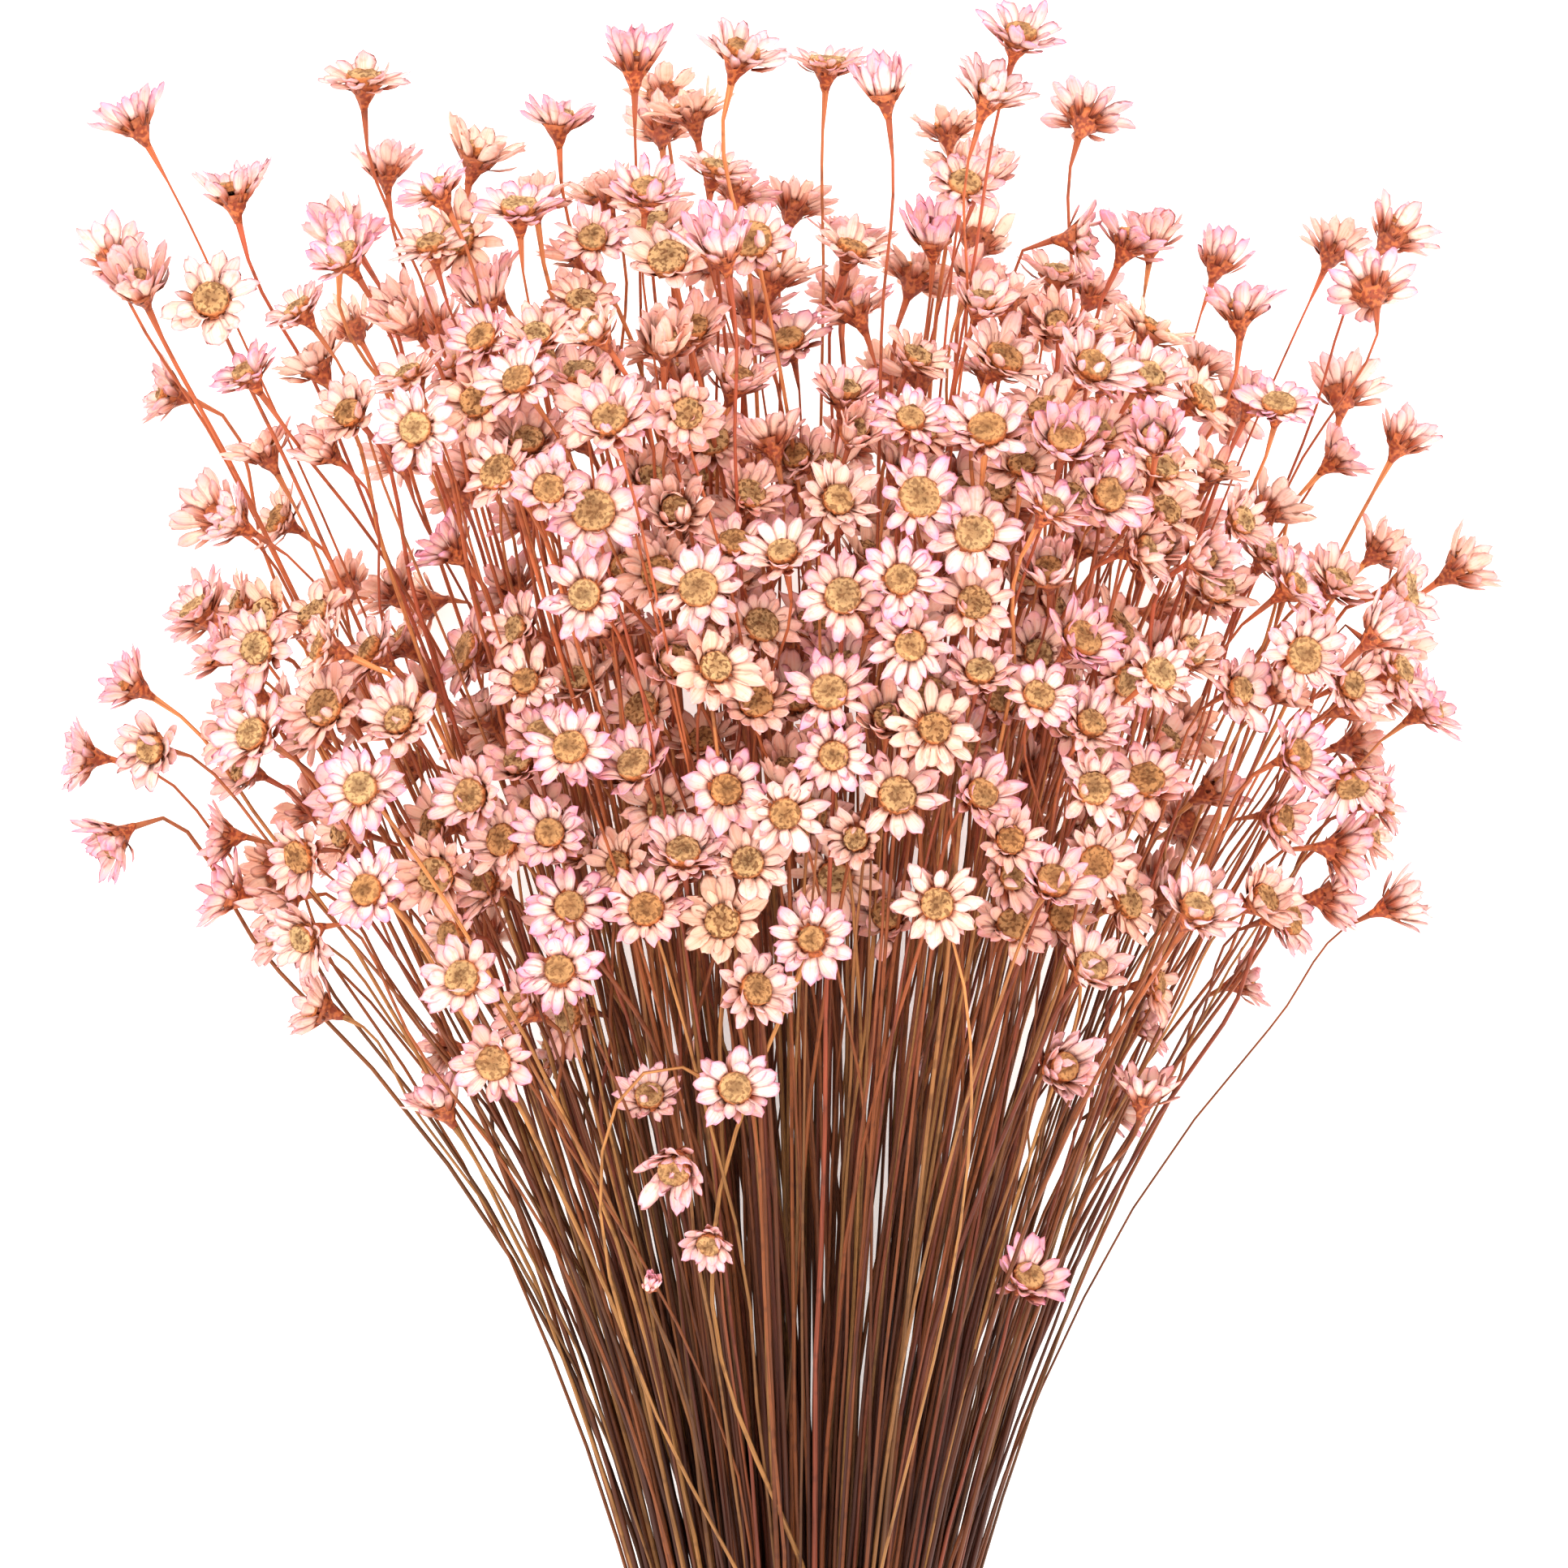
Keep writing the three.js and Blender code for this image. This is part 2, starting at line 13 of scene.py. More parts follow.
import bpy
import numpy as np
from numpy.typing import NDArray
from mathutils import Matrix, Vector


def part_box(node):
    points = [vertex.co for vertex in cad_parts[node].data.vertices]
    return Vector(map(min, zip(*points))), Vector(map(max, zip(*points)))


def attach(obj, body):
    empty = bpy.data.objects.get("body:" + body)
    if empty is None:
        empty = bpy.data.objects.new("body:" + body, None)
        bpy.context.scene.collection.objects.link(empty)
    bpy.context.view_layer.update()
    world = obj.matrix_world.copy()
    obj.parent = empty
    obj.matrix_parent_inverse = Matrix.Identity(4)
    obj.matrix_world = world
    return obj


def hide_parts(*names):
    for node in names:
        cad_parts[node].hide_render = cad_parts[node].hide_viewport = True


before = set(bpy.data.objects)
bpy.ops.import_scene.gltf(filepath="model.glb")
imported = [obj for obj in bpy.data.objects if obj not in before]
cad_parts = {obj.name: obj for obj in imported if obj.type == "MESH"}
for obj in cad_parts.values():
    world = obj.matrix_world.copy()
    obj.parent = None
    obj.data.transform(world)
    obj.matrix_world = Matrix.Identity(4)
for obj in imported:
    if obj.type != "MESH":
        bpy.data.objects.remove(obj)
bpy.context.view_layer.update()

Array = NDArray[np.float64]
Indices = NDArray[np.int64]
Vec = tuple[float, float, float]
Tone = tuple[float, ...]
Runs = tuple[Array, Array, Array, Array]
Socket = bpy.types.NodeSocket

MM = 0.001
LOG = logging.getLogger("marcela")

# Sizes of the waist, the fan and the heads, as in the solids, in millimetres
STRAND_PITCH = 2.9
STRAND_RADIUS = 1.5
STRAND_TOP = 26.0
LATTICE_REACH = 13.5
WAIST_RADIUS = math.sqrt(13) * STRAND_PITCH
TIE_RADIUS = 14.0
TIE_HALF_WIDTH = 7.0
FAN_START = 8.0
WIDTH_SLOPE = 0.112
WIDTH_BEND = 0.00071
DEPTH_SLOPE = 0.075
DEPTH_BEND = 0.0005
RISE_SLOPE = 0.068
RISE_BEND = 0.00045
UNDERSIDE = 0.85
EDGE_ABOVE_START = 87.0
STEM_RADIUS = 0.58
ROOT_RADIUS = 0.42
ROOT_PLACES = 6
ROOT_OFF = STRAND_RADIUS / math.sqrt(3)
WAVE = 0.05
HEAD_RADIUS = 7.1
CALYX_HEIGHT = 4.4
CALYX_FOOT = 0.75
NOTCH_SHARE = 0.7
NOTCH_LIFT = 0.8
DISC_SHARE = 0.38
GAP = 0.3
OWN_GAP = 0.05
SINK = 1.2
SEED = 20261127
TWINE_SEED = 99
TRIES = 80
INNER_PETALS = 5
OUTER_PETALS = 6
SHOWN_PETALS = 7
SKIRT_ROUNDS = 3
CROWN_ROUNDS = 5
FLOOR_FEEL = 1.0
FLOOR_GAP = 0.1

# The heads that only the scene has: how many, how they keep clear, and their roots' grid
GAP_HEADS = 240
GAP_TRIES = 60
GAP_REACH = 0.64
STEM_ROOM = 0.5
AMONG = 13.0
AMONG_RISE = 3.0
SPARE_RIM = 11.55
SPARE_STEP = 0.29
SPARE_ROOM = 0.76
ROOT_STRAY = 0.2

# A closed head's cup, the late listed heads, and how deep a head counts as lying
CLOSED_CUP = 0.85
CLOSED_FROM = 0.8
LATE_SIZE = 0.98
MOST_ROOM = 1.9
SHIFT_COST = 4
SHADE_REACH = 13
SHADE_RISE = 5
SHADE_HEADS = 3
SHADE_COST = 20

# Where the view shows heads close together: across from, to, above the lower edge from, to, share
DENSE = (
    (-44, 50, 98, 208, 0.62), (46, 92, 100, 190, 0.2), (-94, -42, 86, 148, 0.13),
    (-90, -42, 160, 200, 0.05),
)
DEPTH_SHIFTS = (0, 0.06, -0.06, 0.12, -0.12, 0.2, -0.2, 0.3, -0.3, 0.45, -0.45)

# Heads that the bunch shows clearly: across, above the view's lower edge, depth, turn, tilt, lift
SHOWN = (
    (-26, 229, 0.1, 90, 5, 40), (-10, 228, 0.3, 70, 25, 20), (3, 230, -0.1, 85, 15, 10),
    (-67, 227, 0, 88, 20, 10), (-102, 221, 0, 120, 0, 35), (-107, 202, -0.2, 110, -40, 35),
    (-66, 217, -0.5, 95, -10, 35), (-86, 209, 0.2, 100, 5, 35), (-50, 216, 0, 70, 15, 30),
    (-52, 202, 0.3, 140, 60, 8), (-71, 204, -0.1, 80, 5, 35), (-100, 195, 0.3, 110, 45, 50),
    (-88, 192, 0.5, 100, 70, 10), (-100, 182, -0.4, 165, 10, 30), (23, 209, 0.4, 80, 50, 8),
    (41, 203, 0.1, 0, 10, 15), (53, 205, -0.2, 85, 10, 40), (66, 193, 0, 90, 0, 30),
    (86, 196, 0, 100, -50, 20), (91, 206, -0.3, 50, -20, 30), (84, 182, -0.4, 80, -30, 30),
    (92, 174, -0.1, 60, -10, 35), (36, 193, -0.5, 90, -70, 20), (67, 180, -0.5, 90, -70, 15),
    (101, 154, 0, 30, 0, 35), (90, 150, 0.4, 10, 20, 20), (88, 140, 0, -60, 20, 30),
    (83, 121, 0.4, -80, 45, 20), (81, 103, 0.3, 0, -5, 35), (74, 140, 0.7, 0, 70, 10),
    (52, 73, 0.5, 80, 10, 30), (34, 44, 0.8, 60, 50, 30),
    (-91, 162, 0, 150, -30, 30), (-82, 171, 0.4, 120, 5, 20), (-93, 147, 0.3, 130, 20, 20),
    (-82, 141, 0.7, 170, 60, 15), (-104, 136, 0.2, 150, 10, 35), (-99, 126, 0.5, 180, 60, 20),
    (-113, 125, -0.1, 175, 10, 25), (-108, 112, 0.1, 215, 20, 30), (-82, 128, 1, 150, 50, 15),
    (-76, 110, 0.8, 200, 50, 20), (-83, 107, 0, 200, -40, 25), (-75, 98, 1, 210, 45, 20),
    (-76, 86, 0.3, 160, 10, 30), (-57, 71, 0.4, 120, 5, 35),
    (-29, 174, 1.05, 90, 80, 8), (-31, 160, 1.15, 90, 80, 8), (-48, 176, 0.9, 120, 70, 8),
    (-16, 149, 1.15, 90, 75, 8), (5, 148, 1.15, 90, 78, 10), (16, 162, 1.05, 60, 70, 10),
    (24, 147, 1.1, 60, 72, 8), (18, 134, 1.15, 80, 75, 10), (3, 134, 1.15, 90, 72, 12),
    (-35, 126, 1.15, 110, 70, 10), (-66, 120, 1.15, 130, 70, 10), (-65, 105, 1.25, 150, 65, 12),
    (-72, 132, 1.1, 140, 60, 15), (-22, 117, 1.2, 100, 78, 8), (-9, 109, 1.25, 90, 72, 10),
    (-3, 122, 1.2, 90, 40, 50), (4, 107, 1.3, 260, 65, 10), (13, 119, 1.2, 60, 72, 10),
    (19, 103, 1.35, 90, 85, 8), (42, 120, 1.15, 60, 72, 10), (-24, 102, 1.25, 110, 70, 12),
    (-51, 92, 1.3, 150, 68, 10), (-37, 93, 1.3, 120, 75, 10), (-47, 79, 1.35, 200, 75, 12),
    (-8, 90, 1.3, 20, 60, 15), (-11, 75, 1.35, 60, 75, 10), (-20, 63, 1.4, 250, 55, 40),
    (36, 106, 1.2, 60, 55, 35), (42, 93, 1.2, 50, 50, 35), (37, 170, 1, 80, 55, 45),
    (30, 163, 0.3, 90, -50, 20), (49, 155, 0.9, 10, 30, 15), (34, 140, 1.1, 40, 65, 12),
    (61, 150, 0.8, 60, 50, 20), (73, 125, 0.8, 20, 40, 25), (69, 103, 0.7, 30, 40, 30),
    (57, 102, 1, 60, 40, 30),
)

# Heads on the underside that carry the bunch: the same six values
CARRYING = (
    (-62, 150, -1.14, 190, -20, 20), (58, 148, -1.14, -10, -20, 20), (0, 165, -1.14, 90, -30, 20),
    (-35, 120, -1.22, 180, -40, 20), (36, 118, -1.22, 0, -40, 20),
)

# Low heads and a bud that only the finer pieces have: the same six values, and the size
LOW_HEADS = (
    (-15, 51, 1.35, 250, 60, 30, 0.72), (-24, 44, 1.35, 80, 50, 74, 0.42),
    (-24, 73, 1.2, 100, 60, 25, 0.85),
)

# Stems that bend over: their head's across and level, the swing half way and near the head
ARCHES = (
    (-11, 75, (-40, 8, 8), (-26, 22, 5)), (19, 103, (14, 4, 5), (9, -14, 5)),
    (4, 107, (-34, -6, -2), (-13, -32, -30)),
)

# Where the tie's middle lies in the frame, in millimetres
TIE_LOW, TIE_HIGH = (np.array(corner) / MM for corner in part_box("tie"))
SHIFT = np.array([*((TIE_LOW + TIE_HIGH) / 2)[:2], 0.0])


def add(a: Vec, b: Vec, k: float = 1.0) -> Vec:
    """The sum of a and k times b."""
    return (a[0] + b[0] * k, a[1] + b[1] * k, a[2] + b[2] * k)


def sub(a: Vec, b: Vec) -> Vec:
    """The difference of a and b."""
    return (a[0] - b[0], a[1] - b[1], a[2] - b[2])


def dot(a: Vec, b: Vec) -> float:
    """The dot product of a and b."""
    return a[0] * b[0] + a[1] * b[1] + a[2] * b[2]


def cross(a: Vec, b: Vec) -> Vec:
    """The cross product of a and b."""
    return (a[1] * b[2] - a[2] * b[1], a[2] * b[0] - a[0] * b[2], a[0] * b[1] - a[1] * b[0])


def unit(a: Vec) -> Vec:
    """The vector a at length one."""
    length = math.sqrt(dot(a, a))
    return (a[0] / length, a[1] / length, a[2] / length)


def clamp(value: float) -> float:
    """The value kept between 0 and 1."""
    return min(1.0, max(0.0, value))


def smooth(value: Array) -> Array:
    """A smooth step: 3 x squared minus 2 x cubed, on values kept between 0 and 1."""
    kept = np.clip(value, 0, 1)
    return kept * kept * (3 - 2 * kept)


def spread(s: Array | float) -> tuple[Array, Array, Array]:
    """Half width, half depth and middle height at s: a start, a slope by s, a bend by s squared."""
    return (
        WAIST_RADIUS + WIDTH_SLOPE * s + WIDTH_BEND * s * s,
        WAIST_RADIUS + DEPTH_SLOPE * s + DEPTH_BEND * s * s,
        TIE_RADIUS + RISE_SLOPE * s + RISE_BEND * s * s,
    )


def fountain(u: Array | float, v: Array | float, s: Array | float) -> Array:
    """Points of the fountain of stems: u half widths across and v half depths up.

    Args:
        u: Place across the round waist, from -1 to 1.
        v: Place up the round waist, from -1 to 1.
        s: Distance along the stems above the fan's start.

    Returns:
        The points, in millimetres, along a new last axis.
    """
    u, v, s = np.broadcast_arrays(*(np.asarray(value, float) for value in (u, v, s)))
    half_width, half_depth, middle = spread(s)
    depth = np.where(v < 0, v * (1 - (1 - UNDERSIDE) * np.clip(s / 100, 0, 1)), v)
    return np.stack([u * half_width, FAN_START + s, middle + depth * half_depth], axis=-1)


def spot(u: float, v: float, s: float) -> Vec:
    """One point of the fountain, by the same formula as for whole arrays."""
    half_width, half_depth, middle = spread(s)
    depth = v * (1 - (1 - UNDERSIDE) * clamp(s / 100)) if v < 0 else v
    return (u * half_width, FAN_START + s, middle + depth * half_depth)


class Draws:
    """The seeded draws between 0 and 1 that the solids use too."""

    def __init__(self, seed: int) -> None:
        """Starts the row of draws at a seed."""
        self.state = seed

    def next(self) -> float:
        """The next draw."""
        self.state = (self.state * 16807) % 2147483647
        return self.state / 2147483647


class Cup(Enum):
    """How far a head has opened."""

    OPEN = "open"
    CLOSED = "closed"


@dataclass
class Sprig:
    """A stem with its head, in the bunch's own millimetres."""

    root: tuple[float, float]
    goal: Vec
    late: float
    wave: tuple[float, float]
    path: list[Vec]
    centre: Vec
    face: Vec
    size: float
    cup: float
    petals: int
    place: int
    side: Vec = (1.0, 0.0, 0.0)
    spray: int = -1
    shade: float = 0.0
    arch: tuple[Vec, Vec] | None = None
    starts: Array = field(default_factory=lambda: np.zeros((0, 3)))
    ends: Array = field(default_factory=lambda: np.zeros((0, 3)))
    first: Array = field(default_factory=lambda: np.zeros(0))
    last: Array = field(default_factory=lambda: np.zeros(0))

    @property
    def radius(self) -> float:
        """The head's radius."""
        return HEAD_RADIUS * self.size

    @property
    def stems(self) -> int:
        """How many of the runs belong to the stem."""
        return len(self.path) - 1

    @property
    def state(self) -> Cup:
        """How far the head has opened."""
        return Cup.CLOSED if self.cup > CLOSED_FROM else Cup.OPEN

    def settle_runs(self) -> None:
        """Works out the tapered runs that the sprig keeps clear: stem, calyx, petals, webs."""
        steps = [unit(sub(b, a)) for a, b in zip(self.path, self.path[1:])]
        ways = [(0.0, 1.0, 0.0)]
        for i in range(1, len(self.path)):
            ways.append(unit(add(steps[i - 1], steps[i] if i < len(steps) else self.face)))
        ways.append(self.face)
        angle = place_angle(self.place)
        side = (-math.cos(angle), 0.0, math.sin(angle))
        for way in ways:
            side = unit(add(side, way, -dot(side, way)))
        self.side = side
        top = self.stems
        widths = [ROOT_RADIUS] + [STEM_RADIUS] * (top - 1) + [CALYX_FOOT]
        radius = self.radius
        turns = 2 * math.pi * np.arange(self.petals) / self.petals
        between = turns + math.pi / self.petals
        notch = radius * NOTCH_SHARE
        rise = math.sin(self.cup)
        feet = self.on_head(0.5 * radius, turns, -0.3 * self.size)
        tips = self.on_head(radius * math.cos(self.cup), turns, radius * rise)
        web_feet = self.on_head(0.4 * radius, between, -0.3 * self.size)
        notches = self.on_head(notch, between, NOTCH_LIFT * notch * rise)
        calyx_top = add(self.centre, self.face, -self.size)
        self.starts = np.vstack([self.path, np.stack([feet, web_feet], 1).reshape(-1, 3)])
        self.ends = np.vstack(
            [self.path[1:], [calyx_top], np.stack([tips, notches], 1).reshape(-1, 3)]
        )
        ones = np.ones(self.petals)
        pairs = np.stack([0.28 * radius * ones, 0.2 * radius * ones], 1).reshape(-1)
        tip_pairs = np.stack([0.08 * radius * ones, 0.02 * radius * ones], 1).reshape(-1)
        self.first = np.concatenate([widths, pairs])
        self.last = np.concatenate([widths[1:], [DISC_SHARE * radius], tip_pairs])

    def runs(self, at: Indices) -> Runs:
        """The runs at some indices: starts, ends and both radii."""
        return self.starts[at], self.ends[at], self.first[at], self.last[at]

    def on_head(self, radius: float, angles: Array, rise: float) -> Array:
        """Points of the head at a radius, at angles round it and at a rise towards its face."""
        across = np.array(cross(self.face, self.side))
        ring = np.cos(angles)[:, None] * np.array(self.side) + np.sin(angles)[:, None] * across
        return np.array(self.centre) + radius * ring + rise * np.array(self.face)


def gather(sprigs: list[Sprig], name: str) -> Array:
    """One value of every sprig, by its name."""
    return np.array([getattr(one, name) for one in sprigs])


def place_angle(place: int) -> float:
    """The angle of a root place round its strand's middle."""
    return ((place + 1) * math.pi) / 3


def run_gaps(first: Runs, second: Runs) -> Array:
    """The clear space between tapered runs, pair by pair.

    The nearest points of the two middle lines come from the usual pair of linear equations,
    kept to the lines' ends, and each run's radius there is taken off their distance.

    Args:
        first: Starts, ends, radii at the starts and radii at the ends.
        second: The same four of the other runs.

    Returns:
        The gap of each pair, below zero where they meet.
    """
    (p, p2, pa, pb), (q, q2, qa, qb) = first, second
    u, v, w = p2 - p, q2 - q, p - q
    a, b, c = (u * u).sum(-1), (u * v).sum(-1), (v * v).sum(-1)
    d, e = (u * w).sum(-1), (v * w).sum(-1)
    s = np.clip((b * e - c * d) / np.maximum(a * c - b * b, 1e-9), 0, 1)
    t = np.clip((b * s + e) / c, 0, 1)
    s = np.clip((b * t - d) / a, 0, 1)
    away = w + u * s[..., None] - v * t[..., None]
    return np.sqrt((away * away).sum(-1)) - pa - (pb - pa) * s - qa - (qb - qa) * t


def line_gaps(points: Array, p: Array, q: Array) -> Array:
    """The distance of each point from each line between p and q, one row a point."""
    way = q - p
    off = points[:, None] - p
    t = np.clip((off * way).sum(-1) / (way * way).sum(-1), 0, 1)
    return np.linalg.norm(off - t[..., None] * way, axis=-1)


class Growth:
    """The rule that places every sprig of the bunch, one by one, clear of the others."""

    MOST_RUNS = 9000

    def __init__(self) -> None:
        """Starts an empty bunch on the lattice of strands."""
        self.draws = Draws(SEED)
        self.strands = self.lattice()
        self.placed: list[Sprig] = []
        self.count = 0
        self.missed: list[tuple[float, ...]] = []
        self.p, self.q = np.zeros((self.MOST_RUNS, 3)), np.zeros((self.MOST_RUNS, 3))
        self.a, self.b = np.zeros(self.MOST_RUNS), np.zeros(self.MOST_RUNS)
        self.low, self.high = np.zeros((self.MOST_RUNS, 3)), np.zeros((self.MOST_RUNS, 3))
        self.spray = np.full(self.MOST_RUNS, -1)
        self.stem = np.zeros(self.MOST_RUNS, bool)
        self.lines = (np.zeros((0, 3)), np.zeros((0, 3)))

    @staticmethod
    def lattice() -> list[tuple[float, float]]:
        """The strands' places on a triangular lattice inside the round waist."""
        centres = []
        for row in range(-4, 5):
            for step in range(-6, 7):
                across = step + (0 if row % 2 == 0 else 0.5)
                up = (row * math.sqrt(3)) / 2
                if across * across + up * up < LATTICE_REACH:
                    centres.append(
                        ((across * STRAND_PITCH) / WAIST_RADIUS, (up * STRAND_PITCH) / WAIST_RADIUS)
                    )
        return centres

    def taken(self, index: int) -> list[int]:
        """The root places of a spray that already hold a stem."""
        return [one.place for one in self.placed if one.spray == index]

    @staticmethod
    def root_place(du: float, dv: float, taken: list[int]) -> int:
        """The free root place nearest the way a stem leans."""
        best, most = 0, -1e9
        for place in range(ROOT_PLACES):
            along = du * math.cos(place_angle(place)) - dv * math.sin(place_angle(place))
            if place not in taken and along > most:
                best, most = place, along
        return best

    def root_on(self, index: int, goal: Vec) -> tuple[tuple[float, float], int]:
        """A strand's free root for a goal: its u and v, and its place's number."""
        strand = self.strands[index]
        place = self.root_place(goal[0] - strand[0], goal[1] - strand[1], self.taken(index))
        off, angle = ROOT_OFF / WAIST_RADIUS, place_angle(place)
        return (strand[0] + off * math.cos(angle), strand[1] - off * math.sin(angle)), place

    @staticmethod
    def sprig_at(
        root: tuple[float, float], goal: Vec, face: Vec, size: float, cup: float,
        petals: int = INNER_PETALS, place: int = 0, wave: tuple[float, float] = (0.0, 0.0),
    ) -> Sprig:
        """Makes a stem with its head.

        The stem's place in the waist moves from its root to its goal as a power of the share t
        of its length, late for the arched stems of the skirt.

        Args:
            root: The stem's place in the waist, u and v.
            goal: The head's place in the fountain: u, v and s.
            face: The way the head faces.
            size: The head's size over the usual one.
            cup: How far the petals stand up, in radians.
            petals: How many petals its solid has.
            place: The root place's number in its strand.
            wave: A sideways shift at the stem's first knot, in u and v.

        Returns:
            The sprig with its path's points.
        """
        (u0, v0), (u, v, s) = root, goal
        arched = math.sqrt(u * u + v * v) > 1.02
        late = 2.6 if arched else 1.15
        path = []
        for i, t in enumerate((0, 0.5, 0.82) if arched else (0, 0.52)):
            k = math.pow(t, late)
            wu, wv = wave if i == 1 else (0, 0)
            level = STRAND_TOP + (s - STRAND_TOP) * t
            path.append(spot(u0 + (u - u0) * k + wu, v0 + (v - v0) * k + wv, level))
        centre = spot(u, v, s)
        path.append(add(centre, face, -CALYX_HEIGHT * size))
        return Sprig(root, goal, late, wave, path, centre, face, size, cup, petals, place)

    def settle(self, one: Sprig, index: int) -> bool:
        """Adds a sprig if it lies above the surface and clear of itself and every other one."""
        one.settle_runs()
        low = np.minimum(one.starts - one.first[:, None], one.ends - one.last[:, None])
        high = np.maximum(one.starts + one.first[:, None], one.ends + one.last[:, None])
        if low[:, 2].min() < -SINK:
            return False
        if not self.clears_itself(one) or not self.fits(one, index, low, high):
            return False
        one.spray = index
        self.placed.append(one)
        span = slice(self.count, self.count + len(one.first))
        self.p[span], self.q[span] = one.starts, one.ends
        self.a[span], self.b[span] = one.first, one.last
        self.low[span], self.high[span] = low, high
        self.spray[span] = index
        self.stem[self.count : self.count + one.stems] = True
        self.count += len(one.first)
        return True

    @staticmethod
    def clears_itself(one: Sprig) -> bool:
        """Whether a sprig's stem keeps clear of its own petals."""
        i, j = np.meshgrid(
            np.arange(one.stems), np.arange(one.stems + 1, len(one.first)), indexing="ij"
        )
        i, j = i.ravel(), j.ravel()
        gaps = run_gaps(one.runs(i), one.runs(j))
        return bool((gaps > OWN_GAP).all())

    def fits(self, one: Sprig, index: int, low: Array, high: Array) -> bool:
        """Whether a new sprig's runs clear all those in place."""
        n = self.count
        whole_low, whole_high = low.min(0), high.max(0)
        near = np.nonzero(
            ((whole_low < self.high[:n] + GAP) & (self.low[:n] < whole_high + GAP)).all(1)
        )[0]
        if not len(near):
            return True
        meet = (low[:, None] < self.high[near] + GAP) & (self.low[near] < high[:, None] + GAP)
        i, k = np.nonzero(meet.all(2))
        if not len(i):
            return True
        j = near[k]
        gaps = run_gaps(one.runs(i), (self.p[j], self.q[j], self.a[j], self.b[j]))
        own = (i < one.stems) & self.stem[j] & (self.spray[j] == index)
        return bool((gaps > np.where(own, OWN_GAP, GAP)).all())

    def place_listed(self, rows: tuple[tuple[float, ...], ...], petals: int) -> None:
        """Places listed heads at the nearest strand, at the first depth that is clear."""
        for row in rows:
            depth, lift = row[2], row[5]
            u, s, face = self.listed(row)
            size = 0.92 + 0.18 * self.draws.next()
            for shift in DEPTH_SHIFTS:
                v = depth + shift
                near = max(1.0, math.sqrt(u * u + v * v))
                spans = [(cu - u / near) ** 2 + (cv - v / near) ** 2 for cu, cv in self.strands]
                index = spans.index(min(spans))
                if len(self.taken(index)) >= ROOT_PLACES:
                    continue
                root, place = self.root_on(index, (u, v, s))
                made = self.sprig_at(
                    root, (u, v, s), face, size, math.radians(lift), petals, place
                )
                if self.settle(made, index):
                    break
            else:
                self.missed.append(row)

    @staticmethod
    def listed(row: tuple[float, ...]) -> tuple[float, float, Vec]:
        """A listed head's place across in half widths, its level, and the way it faces."""
        s = row[1] + EDGE_ABOVE_START
        a, b = math.radians(row[3]), math.radians(row[4])
        face = (math.cos(b) * math.cos(a), math.cos(b) * math.sin(a), math.sin(b))
        return row[0] / spread(s)[0], s, face

    def grow(self, index: int, reach_out: float, low: float, high: float) -> None:
        """Adds one more head to a strand, at the first of its drawn places that is clear."""
        cu, cv = self.strands[index]
        if len(self.taken(index)) >= ROOT_PLACES:
            return
        for attempt in range(TRIES):
            a, b, c, d, e, f, g = (self.draws.next() for _ in range(7))
            wave = tuple(WAVE * (self.draws.next() - 0.5) * 2 for _ in range(2))
            stray = (0.04 + 0.16 * b) * (1 + attempt / TRIES)
            u = cu * reach_out + stray * math.cos(2 * math.pi * a)
            v = cv * reach_out + stray * math.sin(2 * math.pi * a)
            s = low + (high - low) * c
            up = 0.25 + 0.9 * ((s - 180) / 140) + 0.5 * (e - 0.5)
            face = unit((0.9 * u + 0.7 * (d - 0.5), up, 1.1 * v + 0.7 * (f - 0.5)))
            size = 0.86 + 0.24 * g
            cup = CLOSED_CUP if b < 0.12 else 0.12 + 0.4 * e
            petals = OUTER_PETALS if cu * cu + cv * cv > 0.36 else INNER_PETALS
            root, place = self.root_on(index, (u, v, s))
            made = self.sprig_at(root, (u, v, s), face, size, cup, petals, place, wave)
            if self.settle(made, index):
                return

    def fill(self) -> None:
        """Grows the listed heads, the skirt of arched stems and then the crown, level by level."""
        self.place_listed(CARRYING, OUTER_PETALS)
        self.place_listed(SHOWN, SHOWN_PETALS)
        rims = [math.sqrt(u * u + v * v) for u, v in self.strands]
        for turn in range(SKIRT_ROUNDS):
            for index, rim in enumerate(rims):
                low = 155 + 30 * turn
                if rim > 0.8:
                    self.grow(index, 1.22, low, low + 45)
        for turn in range(CROWN_ROUNDS):
            for index, rim in enumerate(rims):
                low = 236 - 40 * rim * rim
                step = (318 - 26 * rim * rim - low) / CROWN_ROUNDS
                self.grow(index, 1.03, low + step * (turn - 0.3), low + step * (turn + 1.3))

    def spare_roots(self) -> list[tuple[float, float]]:
        """Free places in the waist: points of a fine grid that clear the roots in use.

        Returns:
            For each place its u and v.
        """
        used = [one.root for one in self.placed]
        spots: list[tuple[float, float]] = []
        reach = int(SPARE_RIM / SPARE_STEP) + 1
        for row in range(-reach, reach + 1):
            for step in range(-reach, reach + 1):
                x, y = step * SPARE_STEP, row * SPARE_STEP
                if math.hypot(x, y) > SPARE_RIM:
                    continue
                place = (x / WAIST_RADIUS, y / WAIST_RADIUS)
                room = min(math.dist(place, other) for other in used + spots)
                if room * WAIST_RADIUS > SPARE_ROOM:
                    spots.append(place)
        return spots

